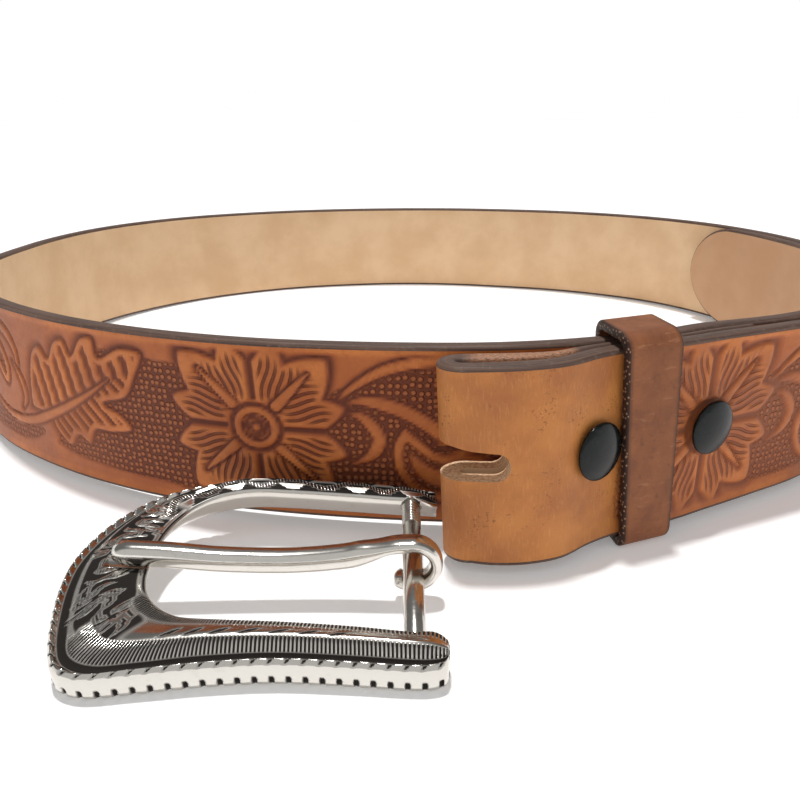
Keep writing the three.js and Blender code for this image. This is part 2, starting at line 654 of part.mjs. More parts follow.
// A round tube along the prong's path: thick along the shank, thinner round the bar, drawn in at its tip.
// Grown by a clearance and cut short of the bar, it also cuts the tip's seat in the frame.
function prongTube(extra = 0, whole = true) {
  const { curve, count } = prongPath();
  const sides = 12;
  const steps = count * 3;
  const shank = (PRONG.length - 1) / (count - 1);
  const thinning = 0.08;
  const rings = [];
  for (let i = 0; i <= steps; i += 1) {
    const t = i / steps;
    if (!whole && t > shank * 0.5) break;
    const centre = curve.getPoint(t);
    const along = curve.getTangent(t);
    const up = new THREE.Vector3(0, 1, 0).cross(along).normalize();
    const thinned = THREE.MathUtils.smoothstep(t, shank - thinning, shank);
    const drawn = whole ? Math.sqrt(Math.min(1, 0.3 + t * 22)) : 1;
    const wide = (PRONG_DIAMETER / 2) * drawn + extra;
    const thick = THREE.MathUtils.lerp(PRONG_DIAMETER, PRONG_LOOP_WALL, thinned) / 2 * drawn + extra;
    const ring = [];
    for (let j = 0; j < sides; j += 1) {
      const around = (j / sides) * 2 * Math.PI;
      const lifted = thick * Math.sin(around) + (whole ? 0 : Math.max(0, Math.sin(around)) * PRONG_DIAMETER);
      ring.push(centre.clone().addScaledVector(up, lifted)
        .add(new THREE.Vector3(0, wide * Math.cos(around), 0)));
    }
    rings.push(ring);
  }
  if (!whole) {
    const past = new THREE.Vector3(-1.5, 0, 0);
    rings.unshift(rings[0].map((p) => p.clone().add(past)));
  }
  return loft(rings);
}

// The buckle lies in front of the belt on its near edge, tilted, its far arm leaning close to the strap.
function placeBuckle(group) {
  const tilt = BUCKLE_TILT * DEGREE;
  const farRow = FRAME.reduce((a, b) => (b.outer[1] > a.outer[1] ? b : a));
  const nearRow = FRAME.reduce((a, b) => (b.outer[1] < a.outer[1] ? b : a));
  const nearY = nearRow.outer[1] * frameHalfDepth;
  const farY = farRow.outer[1] * frameHalfDepth;
  const edgeHeight = (farY - nearY) * Math.sin(tilt) + ROPE_TOP / 2;
  let reach = Infinity;
  for (const row of FRAME) {
    const x = BUCKLE_BAR_X + row.outer[0] * frameLength;
    const angle = 360 + Math.asin((x - CENTRE_X) / LOOP_RADIUS) / DEGREE;
    const { foot } = strandAt(spiralRadius, angle);
    const face = foot.y - STRAP_THICKNESS / 2 - spiralLean(angle) * edgeHeight;
    reach = Math.min(reach, face - row.outer[1] * frameHalfDepth * Math.cos(tilt));
  }
  group.rotation.x = tilt;
  group.position.set(BUCKLE_BAR_X, reach - BUCKLE_CLEARANCE, -(nearY + 0.5) * Math.sin(tilt));
  return group;
}

const leather = new THREE.MeshStandardMaterial({ color: 0xa9703f, roughness: 0.55, metalness: 0 });
const keeperLeather = new THREE.MeshStandardMaterial({ color: 0x97683f, roughness: 0.6, metalness: 0 });
const gunmetal = new THREE.MeshStandardMaterial({ color: 0x1b1f20, roughness: 0.2, metalness: 0.8 });
const castMetal = new THREE.MeshStandardMaterial({ color: 0xb9b5ad, roughness: 0.25, metalness: 1 });

function piece(name, geometry, material) {
  const mesh = new THREE.Mesh(geometry, material);
  mesh.name = name;
  return mesh;
}

const buckle = placeBuckle(new THREE.Group());
buckle.add(
  piece('buckle_frame', frameGeometry(), castMetal),
  piece('buckle_bar', barGeometry(), castMetal),
  piece('buckle_prong', prongTube(), castMetal),
);

const belt = new THREE.Group();
belt.add(piece('strap', strapGeometry(), leather), piece('keeper', keeperGeometry(), keeperLeather), buckle);
SNAP_ANGLES.forEach((angle, i) => {
  belt.add(piece(`snap_${i + 1}_cap`, capGeometry(angle), gunmetal));
  belt.add(piece(`snap_${i + 1}_post`, postGeometry(angle), gunmetal));
});

const box = new THREE.Box3().setFromObject(belt, true);
const middle = box.getCenter(new THREE.Vector3());
belt.position.set(-middle.x, -middle.y, -box.min.z);

export default belt;
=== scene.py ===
"""Western belt of tooled leather with its loose nickel buckle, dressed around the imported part."""
import json
import math

import bmesh
import bpy
import numpy as np
from mathutils import Matrix, Vector


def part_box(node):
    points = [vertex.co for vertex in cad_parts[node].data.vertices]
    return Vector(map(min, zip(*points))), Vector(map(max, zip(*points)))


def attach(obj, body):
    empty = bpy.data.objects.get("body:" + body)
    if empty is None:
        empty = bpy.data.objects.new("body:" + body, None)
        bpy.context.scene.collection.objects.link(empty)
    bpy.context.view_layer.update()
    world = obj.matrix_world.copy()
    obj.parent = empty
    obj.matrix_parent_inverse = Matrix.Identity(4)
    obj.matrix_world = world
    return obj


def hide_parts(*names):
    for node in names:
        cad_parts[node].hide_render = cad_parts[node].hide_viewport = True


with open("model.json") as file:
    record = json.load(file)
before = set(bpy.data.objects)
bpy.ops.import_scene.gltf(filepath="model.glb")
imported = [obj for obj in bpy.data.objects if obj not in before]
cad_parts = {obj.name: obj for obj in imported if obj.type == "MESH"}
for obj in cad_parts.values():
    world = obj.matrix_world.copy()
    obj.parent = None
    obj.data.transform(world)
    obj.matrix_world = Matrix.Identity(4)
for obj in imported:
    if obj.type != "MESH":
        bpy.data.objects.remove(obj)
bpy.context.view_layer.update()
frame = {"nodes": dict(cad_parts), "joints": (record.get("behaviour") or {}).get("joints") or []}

MM = 0.001
DEGREE = math.pi / 180

# Strap and fold, in millimetres and degrees, as the part's source gives them.
STRAP_WIDTH = 38.1
STRAP_THICKNESS = 3.7
EDGE_ROUND = 0.95
LOOP_RADIUS = 137
TIP_ANGLE = 476.4
TIP_LENGTH = 24
FOLD_ANGLE = 3.1
FOLD_SLANT = -0.045
FOLD_DROOP = 0.35
FOLD_FADE = 9
FOLD_GAP = 2.1
FLAP_THICKNESS = 3.4
FLAP_SKIVED = 1.6
FLAP_END_ANGLE = 28.6
LAYER_GAP = 0.3
FITTINGS_RISE = 0.8
SLOT_LENGTH = 14.5
SLOT_HEIGHT = 5
HOLE_COUNT = 5
HOLE_DIAMETER = 5
HOLE_SPACING = 25.4
FIRST_HOLE_FROM_TIP = 88

# Keeper.
KEEPER_ANGLE = 16.8
KEEPER_WALL = 1.9
KEEPER_WIDTH = 11.5
KEEPER_CORNER = 3.4
KEEPER_CLEARANCE = 0.3
KEEPER_HEADROOM = 0.9
KEEPER_SLANT = -0.065
KEEPER_SKEW = 0.28

# Snaps.
SNAP_ANGLES = (12.1, 23.2)
CAP_DIAMETER = 11.1
CAP_HEIGHT = 1.8

# Buckle.
BAR_DIAMETER = 3.5
BAR_HEIGHT = 3.7
BAR_CLEAR = 38.6
WINDOW_LENGTH = 46.2
END_WIDTH = 12.4
ARM_WIDTH = 6
ROPE_RADIUS = 0.8
ROPE_TOP = 4.9
FRAME_CREST = 6.9
INNER_LIP = 1.5
BUCKLE_TILT = 7.3
PRONG_DIAMETER = 4.2
PRONG_LOOP_WALL = 2.3
EYE_RISE = 0.8
PRONG_CLEARANCE = 0.3
PRONG_OVERLAP = 4.4

# The photograph's camera, from the fit that also gave the belt's size: its place in the part's frame in
# millimetres, its pitch and roll in degrees, and its focal length in image widths.
CAMERA_PLACE = (-3.922, -259.229, 78.914)
CAMERA_PITCH = 18.73
CAMERA_ROLL = -0.6
FOCAL_LENGTH = 820 / 800

# Loop in plan: angle, share of the loop's radius, outward lean per millimetre of height.
LOOP = (
    (3.1, 1.072, 0.03), (4.8, 1.082, 0.005), (7, 1.086, -0.005), (9.5, 1.079, -0.005),
    (12, 1.055, 0), (14.5, 1.038, 0.01), (17.3, 1.031, 0.025), (21, 1.023, 0.035),
    (25, 1.014, 0.05), (31, 1.01, 0.09), (37, 1.014, 0.12), (50, 1.012, 0.11),
    (70, 0.996, 0.04), (89, 0.984, -0.03), (103, 0.993, -0.06), (116, 1.012, -0.09),
    (128, 1.019, -0.09), (139, 1.009, -0.05), (149, 0.999, -0.02), (160, 0.989, 0),
    (171, 0.998, 0), (181, 1.007, 0), (192, 1.014, 0.03), (203, 1.025, 0.065),
    (214, 1.031, 0.1), (224, 1.033, 0.12), (236, 1.03, 0.09), (246, 1.024, 0.03),
    (257, 1.003, 0), (268, 0.985, -0.01), (280, 0.982, 0), (293, 0.978, 0),
    (306, 0.972, 0), (318, 0.956, 0.04), (327, 0.948, 0.07), (333, 0.945, 0.085),
    (340, 0.942, 0.105), (347, 0.939, 0.13), (353, 0.941, 0.13), (359, 0.948, 0.125),
    (365, 0.96, 0.11), (370, 0.969, 0.085),
)

# Inner strand from the keeper on: angle, room to the strand outside it.
INNER_ROOM = (
    (374.5, 1.2), (377.3, 0.8), (381, 1.1), (385, 1.6), (388.6, 1.1), (394, 2.0), (401, 1.3),
    (412, 1.0), (430, 0.9), (449, 0.8), (463, 0.8), (476.4, 0.8),
)

# Folded end: angle, gap share, thinning share.
FOLD = (
    (3.1, 1, 0), (5, 1.05, 0.05), (7.5, 0.9, 0.3), (10, 0.5, 0.65), (12.5, 0.1, 0.9),
    (14.5, 0, 1), (21, 0, 1.1), (28.6, 0, 1.2),
)

# Buckle frame from its near right end round to its far right end: outer point, inner point, crest share.
FRAME = (
    (0.085, -0.9, 0.11, -1.085, 0.72), (0.073, -0.965, 0.1, -1.035, 0.8),
    (0.037, -1.0, 0.056, -1.005, 0.94), (-0.026, -1.0, -0.032, -1.0, 1),
    (-0.153, -0.97, -0.195, -0.94, 1), (-0.35, -0.938, -0.433, -0.877, 1),
    (-0.529, -0.96, -0.649, -0.84, 1), (-0.7, -1.01, -0.79, -0.8, 0.97),
    (-0.819, -1.04, -0.866, -0.705, 0.92), (-0.894, -0.972, -0.922, -0.565, 0.86),
    (-0.935, -0.81, -0.961, -0.41, 0.83), (-0.969, -0.553, -0.985, -0.228, 0.82),
    (-0.995, -0.257, -0.996, -0.026, 0.81), (-1.0, 0.04, -1.0, 0.181, 0.81),
    (-0.966, 0.36, -0.991, 0.44, 0.82), (-0.902, 0.645, -0.961, 0.685, 0.84),
    (-0.812, 0.862, -0.9, 0.913, 0.88), (-0.7, 0.99, -0.8, 1.089, 0.94),
    (-0.563, 1.065, -0.667, 1.178, 1), (-0.41, 1.06, -0.487, 1.15, 1),
    (-0.222, 1.012, -0.238, 1.068, 1), (-0.068, 0.96, -0.076, 1.012, 1),
    (0.017, 0.917, 0.022, 0.996, 0.94), (0.061, 0.878, 0.078, 0.996, 0.8),
    (0.082, 0.83, 0.106, 1.016, 0.72),
)

# Prong's shank: distance from the bar, height above it.
PRONG = (
    (0.072, 0.93), (0.15, 0.68), (0.24, 0.46), (0.42, 0.32), (0.64, 0.4), (0.83, 0.62), (1, 0.74),
)


def smooth(rows, column, place):
    """A smooth value of one column of a table at places between its rows."""
    table = np.array(rows, float)
    at, value = table[:, 0], table[:, column]
    slope = np.gradient(value)
    slope[1:-1] = (value[2:] - value[:-2]) / (at[2:] - at[:-2])
    slope[0] = (value[1] - value[0]) / (at[1] - at[0])
    slope[-1] = (value[-1] - value[-2]) / (at[-1] - at[-2])
    place = np.asarray(place, float)
    high = np.clip(np.searchsorted(at, place, side="right"), 1, len(at) - 1)
    low = high - 1
    span = at[high] - at[low]
    t = np.clip((place - at[low]) / span, 0, 1)
    t2, t3 = t * t, t * t * t
    return (value[low] * (2 * t3 - 3 * t2 + 1) + slope[low] * span * (t3 - 2 * t2 + t)
            + value[high] * (3 * t2 - 2 * t3) + slope[high] * span * (t3 - t2))


def ease(value):
    """Smooth step from 0 at 0 to 1 at 1."""
    t = np.clip(value, 0, 1)
    return t * t * (3 - 2 * t)


def band(value, low, low_fade, high, high_fade):
    """1 between two limits, easing in above the lower one and out below the upper one."""
    return ease((value - low) / low_fade) * ease((high - value) / high_fade)


def through(points, steps):
    """A smooth line through points, with so many steps between each two."""
    points = np.array(points, float)
    rows = np.column_stack([np.arange(len(points)), points])
    place = np.linspace(0, len(points) - 1, (len(points) - 1) * steps + 1)
    return np.column_stack([smooth(rows, k + 1, place) for k in range(points.shape[1])])


def outer_radius(angle):
    """Radius of the outer strand's middle plane, in millimetres."""
    return LOOP_RADIUS * smooth(LOOP, 1, angle)


def flap_thickness(angle):
    return FLAP_THICKNESS + (FLAP_SKIVED - FLAP_THICKNESS) * smooth(FOLD, 2, angle)


def flap_radius(angle):
    gap = LAYER_GAP + FOLD_GAP * smooth(FOLD, 1, angle)
    return outer_radius(angle) - STRAP_THICKNESS / 2 - gap - flap_thickness(angle) / 2


def spiral_rows():
    """The strip's stations, with the inner strand worked out from the outer one in front of it."""
    rows = [(at, LOOP_RADIUS * radius, lean) for at, radius, lean in LOOP]
    for at, room in INNER_ROOM:
        front = at - 360
        flap = LAYER_GAP + float(flap_thickness(front)) if front <= FLAP_END_ANGLE + 0.1 else 0
        rows.append((at, float(outer_radius(front)) - STRAP_THICKNESS - flap - room,
                     float(smooth(LOOP, 2, front))))
    return rows


SPIRAL = spiral_rows()


def spiral_radius(angle):
    return smooth(SPIRAL, 1, np.minimum(angle, TIP_ANGLE))


def spiral_lean(angle):
    return smooth(SPIRAL, 2, np.minimum(angle, TIP_ANGLE))


def polar(angle, radius):
    """Points in plan round the loop's centre."""
    turned = np.asarray(angle, float) * DEGREE
    return np.stack([radius * np.sin(turned), -radius * np.cos(turned)], axis=-1)


KEEPER_Y = float(polar(KEEPER_ANGLE, outer_radius(KEEPER_ANGLE))[1])
STRAP_LIFT = KEEPER_WALL + KEEPER_CLEARANCE


def lift_at(y):
    """Height of the strap's lower edge: the keeper's wall lifts the loop's near side."""
    return np.maximum(0, STRAP_LIFT * (LOOP_RADIUS - y) / (LOOP_RADIUS - KEEPER_Y))


def near_fold(angle):
    """1 at the fold, fading to 0 away from it."""
    return np.clip(1 - (np.asarray(angle, float) - FOLD_ANGLE) / FOLD_FADE, 0, 1)


TANGENT_STEP = 0.25


def strand_at(radius_at, angle):
    """Foot of the strap's centre line, its direction and its outward normal at an angle."""
    angle = np.asarray(angle, float)
    foot = polar(angle, radius_at(angle))
    ahead, behind = angle + TANGENT_STEP, angle - TANGENT_STEP
    along = polar(ahead, radius_at(ahead)) - polar(behind, radius_at(behind))
    along /= np.linalg.norm(along, axis=-1, keepdims=True)
    return foot, along, np.stack([along[..., 1], -along[..., 0]], axis=-1)


# Mesh making.

WELD = 1e-7
SHARP_ANGLE = 55


def lengths(points):
    """Distance run along a line of points, from 0 at its first."""
    return np.concatenate([[0], np.cumsum(np.linalg.norm(np.diff(points, axis=0), axis=1))])


def girth_of(rings):
    """Distance run round the middle ring, back to its first point."""
    middle = rings[len(rings) // 2]
    return lengths(np.vstack([middle, middle[:1]]))


def make_piece(name, bm, shade_smooth=True):
    """Turns a bmesh into a piece of the scene."""
    mesh = bpy.data.meshes.new(name)
    bm.to_mesh(mesh)
    bm.free()
    mesh.polygons.foreach_set("use_smooth", [shade_smooth] * len(mesh.polygons))
    piece = bpy.data.objects.new(name, mesh)
    bpy.context.scene.collection.objects.link(piece)
    return piece


def skin(name, rings, ring_closed=False):
    """A closed tube through rings of points, in millimetres: its ends are capped, or joined to each other.
    Its UV map holds the run along the first points and round a middle ring, in metres."""
    columns, points = rings.shape[:2]
    run, girth = lengths(rings[:, 0]), girth_of(rings)
    bm = bmesh.new()
    bmesh.ops.create_grid(bm, x_segments=columns - 1, y_segments=points, size=1)
    uv = bm.loops.layers.uv.new("UVMap")
    spot = bm.verts.layers.int.new("spot")
    place = {}
    for vert in bm.verts:
        place[vert] = (round((vert.co.x + 1) / 2 * (columns - 1)), round((vert.co.y + 1) / 2 * points))
    for face in bm.faces:
        for loop in face.loops:
            column, point = place[loop.vert]
            loop[uv].uv = (run[column] * MM, girth[point] * MM)
    for vert, (column, point) in place.items():
        vert.co = Vector(rings[column, point % points]) * MM
        vert[spot] = column * points + point % points
    bmesh.ops.remove_doubles(bm, verts=bm.verts, dist=WELD)
    if not ring_closed:
        bmesh.ops.holes_fill(bm, edges=[e for e in bm.edges if e.is_boundary], sides=0)
    bmesh.ops.recalc_face_normals(bm, faces=bm.faces)
    return make_piece(name, bm)


def turned(name, profile, segments):
    """A piece turned round the Z axis from a profile of (radius, height) points in millimetres."""
    bm = bmesh.new()
    verts = [bm.verts.new((radius * MM, 0, height * MM)) for radius, height in profile]
    edges = [bm.edges.new(pair) for pair in zip(verts, verts[1:])]
    bmesh.ops.spin(bm, geom=verts + edges, cent=(0, 0, 0), axis=(0, 0, 1), angle=2 * math.pi,
                   steps=segments, use_merge=True)
    bmesh.ops.remove_doubles(bm, verts=bm.verts, dist=WELD)
    bmesh.ops.recalc_face_normals(bm, faces=bm.faces)
    return make_piece(name, bm)


def plug(name, radius, reach, segments):
    """A plain cylinder that reaches as far below its middle as above it."""
    return turned(name, [(0, -reach), (radius, -reach), (radius, reach), (0, reach)], segments)


def place_mesh(piece, matrix):
    """Moves a piece's mesh, so that its object stays at the origin."""
    piece.data.transform(matrix)
    piece.data.update()
    return piece


def standing_on(point, normal):
    """Matrix that stands the Z axis on a point, in metres, along a direction."""
    turn = Vector((0, 0, 1)).rotation_difference(Vector(normal))
    return Matrix.Translation(Vector(point)) @ turn.to_matrix().to_4x4()


def cut_away(piece, cutters):
    """Cuts closed shapes out of a piece. The cut walls take the cutters' materials."""
    for cutter in cutters:
        cut = piece.modifiers.new("cut", "BOOLEAN")
        cut.operation = "DIFFERENCE"
        cut.object = cutter
        cut.solver = "MANIFOLD"
    graph = bpy.context.evaluated_depsgraph_get()
    mesh = bpy.data.meshes.new_from_object(piece.evaluated_get(graph), preserve_all_data_layers=True,
                                           depsgraph=graph)
    piece.modifiers.clear()
    old = piece.data
    piece.data = mesh
    bpy.data.meshes.remove(old)
    for cutter in cutters:
        bpy.data.objects.remove(cutter)
    mesh.set_sharp_from_angle(angle=SHARP_ANGLE * DEGREE)
    return piece


# Shader maths.

class Socket:
    """A node's output, in Python expressions that add Math nodes."""

    def __init__(self, shader, socket):
        self.shader = shader
        self.socket = socket

    def math(self, operation, *others):
        return self.shader.node("ShaderNodeMath", {"operation": operation}, [self, *others])

    def __add__(self, other):
        return self.math("ADD", other)

    def __sub__(self, other):
        return self.math("SUBTRACT", other)

    def __rsub__(self, other):
        return self.shader.node("ShaderNodeMath", {"operation": "SUBTRACT"}, [other, self])

    def __mul__(self, other):
        return self.math("MULTIPLY", other)

    __radd__ = __add__
    __rmul__ = __mul__

    def step(self, low, high):
        """Smooth step from 0 at low to 1 at high."""
        return self.shader.node("ShaderNodeMapRange", {"interpolation_type": "SMOOTHSTEP"},
                                {"Value": self, "From Min": low, "From Max": high})

    def sine(self):
        return self.math("SINE")

    def most(self, other):
        return self.math("MAXIMUM", other)


class Shader:
    """A material with one Principled surface, built node by node."""

    def __init__(self, name):
        self.material = bpy.data.materials.new(name)
        self.material.use_nodes = True
        self.tree = self.material.node_tree
        self.surface = self.tree.nodes["Principled BSDF"]

    def feed(self, socket, value):
        """Links a socket, or sets its value."""
        if isinstance(value, Socket):
            self.tree.links.new(value.socket, socket)
        else:
            socket.default_value = (*value, 1) if socket.type == "RGBA" else value

    def node(self, kind, settings=None, values=(), output=0):
        """Adds a node, with its settings first, then the values or links of its sockets."""
        node = self.tree.nodes.new(kind)
        for key, value in (settings or {}).items():
            setattr(node, key, value)
        for key, value in values.items() if isinstance(values, dict) else enumerate(values):
            self.feed(node.inputs[key], value)
        return Socket(self, node.outputs[output])

    def attribute(self, name):
        return self.node("ShaderNodeAttribute", {"attribute_name": name}, output="Fac")

    def uv(self, scale):
        place = self.node("ShaderNodeUVMap", {"uv_map": "UVMap"})
        return self.node("ShaderNodeMapping", None, {"Vector": place, "Scale": scale})

    def place(self, scale):
        place = self.node("ShaderNodeTexCoord", output="Object")
        return self.node("ShaderNodeMapping", None, {"Vector": place, "Scale": scale})

    def noise(self, vector, scale, detail=3, roughness=0.55, distortion=0):
        return self.node("ShaderNodeTexNoise", None, {
            "Vector": vector, "Scale": scale, "Detail": detail, "Roughness": roughness,
            "Distortion": distortion})

    def cells(self, vector, scale, randomness):
        return self.node("ShaderNodeTexVoronoi", {"voronoi_dimensions": "2D"}, {
            "Vector": vector, "Scale": scale, "Randomness": randomness}, output="Distance")

    def tint(self, colour, *layers):
        """Lays colours over a colour, each by its mask."""
        for mask, layer in layers:
            sockets = {0: mask, 6: colour, 7: layer}
            colour = self.node("ShaderNodeMix", {"data_type": "RGBA"}, sockets, output=2)
        return colour

    def bump(self, height, distance, strength):
        return self.node("ShaderNodeBump", None, {
            "Height": height, "Distance": distance, "Strength": strength})

    def finish(self, **inputs):
        """Feeds the surface's sockets, named with underscores for their spaces."""
        for key, value in inputs.items():
            self.feed(self.surface.inputs[key.replace("_", " ")], value)
        return self.material


# Millimetres on a UV map, and on an object, that are in metres.
FLAT_MM = (1000, 1000, 1)
OBJECT_MM = (1000, 1000, 1000)


def shade(*values):
    """A linear colour from the 0 to 255 values of a colour picker."""
    return tuple(((v / 255 + 0.055) / 1.055) ** 2.4 if v > 10 else v / 255 / 12.92 for v in values)


# Carved design: heights in millimetres below the grain side, worked out at points of the strap laid flat.
# X runs along the strap from a flower's middle, Y up from the strap's lower edge.

FLOWER_HEIGHT = 19.8
CUT_DEPTH = 0.55
PRESSED_DEPTH = 0.13
FAR = 1e3

# Lobes of each quarter of the flower: turn, reach, half width.
LOBES = ((-16, 19.2, 4.1), (16, 19.2, 4.1), (45, 21.6, 5.6))
LOBE_FOOT = 4
LOBE_BLUNT, LOBE_POINTED = 2.0, 1.42
RIB_PITCH = 1.5
RIB_SLANT = 35
RIBS_FROM, RIBS_TO = 5.4, 17.4
SEPAL_TURNS = (47, 133, 221, 316)
SEPAL_FOOT, SEPAL_TIP = 6.6, 16.4
SEPAL_WIDTHS = (2.6, 2.1, 0.9)
EYE_RADIUS = 6.2
RING_FROM, RING_TO = 2.9, 4.9
RAYS = 22
RAY_RADIUS = 2.8
KNOB_RADIUS = 1.05

# Leaf: pitch of its slanted bars, and the line between their two slants.
BAR_PITCH = 3.3
BAR_SPLIT = (19, 50, 0.42)

LEAF_OUTLINE = (
    (-66, 14.5), (-64.5, 22), (-61.5, 28.6), (-57.5, 30.8), (-54.8, 28.2), (-51.5, 32.4), (-47.5, 33.6),
    (-45.6, 30.2), (-41.5, 34.6), (-37.4, 35.1), (-36.6, 31), (-30, 33.9), (-24.2, 33.2), (-27, 27.6),
    (-30.6, 22.6), (-37.5, 20.4), (-33, 18.6), (-30.2, 15.2), (-36.5, 13.6), (-41.8, 13.2), (-44.4, 9.2),
    (-48.2, 10.8), (-51.8, 7.4), (-56, 10), (-58.6, 13.2),
)
LEAF_VEIN = (
    (-90, 14.5), (-82, 10.6), (-74, 9.6), (-66, 11), (-58, 14), (-50, 17.6), (-42, 21.8), (-34.8, 26.2),
)
VEIN_WIDTHS = (1.2, 2.6, 2.7, 2.2, 0.8)

# Ground stamped with beads, between the motifs.
BEADED_GROUND = (
    ((-57, 7), (-50, 5.4), (-38, 4.6), (-24, 4.2), (-15, 4.6), (-13, 19), (-15, 31), (-22, 32.4), (-30, 33.8),
     (-46, 30), (-54, 20)),
    ((11, 4.2), (20, 3.8), (28, 3.9), (37, 4.4), (45, 6), (50, 11), (49, 19), (46, 27), (39, 32.6),
     (30, 33.2), (22, 30.4), (14, 26)),
    ((-100, 9), (-92, 5.4), (-82, 4.6), (-70, 5), (-62, 8.6), (-66, 10), (-76, 8), (-88, 11.6), (-96, 18)),
)

# Raised strokes: path, then widths along it.
STROKES = (
    (((16.6, 26.4), (20, 29.6), (26, 33.2), (34.3, 35), (44, 34.2), (52, 30.2), (57, 24)),
     (0.9, 2.6, 2.9, 1.2)),
    (((17.2, 25.3), (21, 26.6), (26, 25.9), (31, 23.8), (36, 20.2), (40, 15.4), (42, 10.4)),
     (0.8, 3.2, 3.4, 1.0)),
    (((17.6, 24.3), (21.6, 23), (24.4, 18.9), (22.8, 14.9), (18.6, 12.6)), (0.6, 2.9, 3.0, 0.6)),
    (((46, 33.2), (52, 33.8), (60, 31), (66, 25.4), (69, 18), (66, 11), (60, 8.6)), (0.8, 3.0, 2.8, 1.0)),
    (((50, 6.2), (56, 4.9), (62, 6), (66.4, 9.6)), (0.8, 2.2, 2.2, 0.7)),
    (((-96, 30), (-90, 33.2), (-82, 33.6), (-74, 31.6), (-70, 27), (-70.5, 21)), (0.8, 2.9, 3.1, 1.1)),
    (((-72.8, 24.6), (-69.3, 20.6), (-68.6, 16.2), (-71, 13)), (0.7, 2.4, 2.2, 0.8)),
)

PAISLEY = ((29.2, 21.6), (27, 17), (27.6, 11.4), (31.4, 6.6), (37.6, 4.9), (43.4, 7.2), (45.2, 13.2),
           (41.4, 17.4), (36.6, 15.6))
BUD = ((-85.5, 30.4), (-82.4, 22.6), (-77.4, 17.6), (-74.8, 22.4), (-77.4, 28), (-81.4, 30.6))


def inside_stroke(x, y, path, widths):
    """How far points lie inside a tapered stroke, negative outside it."""
    line = through(path, 8)
    place = np.linspace(0, 1, len(line))
    half = np.interp(place, np.linspace(0, 1, len(widths)), widths) / 2
    best = np.full(x.shape, -FAR)
    for k in range(len(line) - 1):
        a, b = line[k], line[k + 1]
        run = b - a
        t = np.clip(((x - a[0]) * run[0] + (y - a[1]) * run[1]) / (run @ run), 0, 1)
        away = np.hypot(x - a[0] - t * run[0], y - a[1] - t * run[1])
        best = np.maximum(best, half[k] + (half[k + 1] - half[k]) * t - away)
    return best


def inside_outline(x, y, points):
    """How far points lie inside a smooth closed outline, negative outside it."""
    line = through((*points, points[0]), 5)
    away = np.full(x.shape, FAR)
    inside = np.zeros(x.shape, bool)
    for (ax, ay), (bx, by) in zip(line[:-1], line[1:]):
        rx, ry = bx - ax, by - ay
        t = np.clip(((x - ax) * rx + (y - ay) * ry) / (rx * rx + ry * ry + 1e-9), 0, 1)
        away = np.minimum(away, np.hypot(x - ax - t * rx, y - ay - t * ry))
        crosses = (ay > y) != (by > y)
        inside ^= crosses & (x < ax + (y - ay) / (by - ay + 1e-12) * rx)
    return np.where(inside, away, -away)


def carve(height, inside, top=0.0, rise=0.6, spread=1.0):
    """Cuts round an outline, with the ground sloping down to the cut, and raises what is inside."""
    slope = np.clip(1 + inside / spread, 0, 1)
    sunk = np.minimum(height, -CUT_DEPTH * slope ** 1.4)
    raised = -CUT_DEPTH + (CUT_DEPTH + top) * ease(inside / rise)
    return np.where(inside > 0, raised, sunk)


def kept_clear(beaded, inside):
    """The beaded ground without what lies inside an outline or close to it."""
    return np.minimum(beaded, ease(-inside / 0.5 - 0.3))


def inside_lobes(x, y, radius, quarter_turn):
    """How far points lie inside the flower's twelve lobes, with a cut between the quarters."""
    lobes = np.full(x.shape, -FAR)
    for quarter in (0, 90, 180, 270):
        for turn, reach, wide in LOBES:
            at = (quarter + turn) * DEGREE
            u = x * math.cos(at) + y * math.sin(at) - (reach + LOBE_FOOT) / 2
            v = y * math.cos(at) - x * math.sin(at)
            half = (reach - LOBE_FOOT) / 2
            bend = np.where(u > 0, LOBE_POINTED, LOBE_BLUNT)
            from_middle = (np.abs(u / half) ** bend + np.abs(v / wide) ** bend) ** (1 / bend)
            lobes = np.maximum(lobes, (1 - from_middle) * wide)
    gap = radius * np.sin(np.abs(quarter_turn) * DEGREE) - 0.12 - 0.02 * radius
    return np.minimum(lobes, np.where(radius > 6, gap, lobes))


def inside_sepals(x, y):
    """How far points lie inside the four narrow sepals."""
    sepals = np.full(x.shape, -FAR)
    for turn in SEPAL_TURNS:
        way = np.array([math.cos(turn * DEGREE), math.sin(turn * DEGREE)])
        sepals = np.maximum(sepals, inside_stroke(x, y, (way * SEPAL_FOOT, way * SEPAL_TIP), SEPAL_WIDTHS))
    return sepals


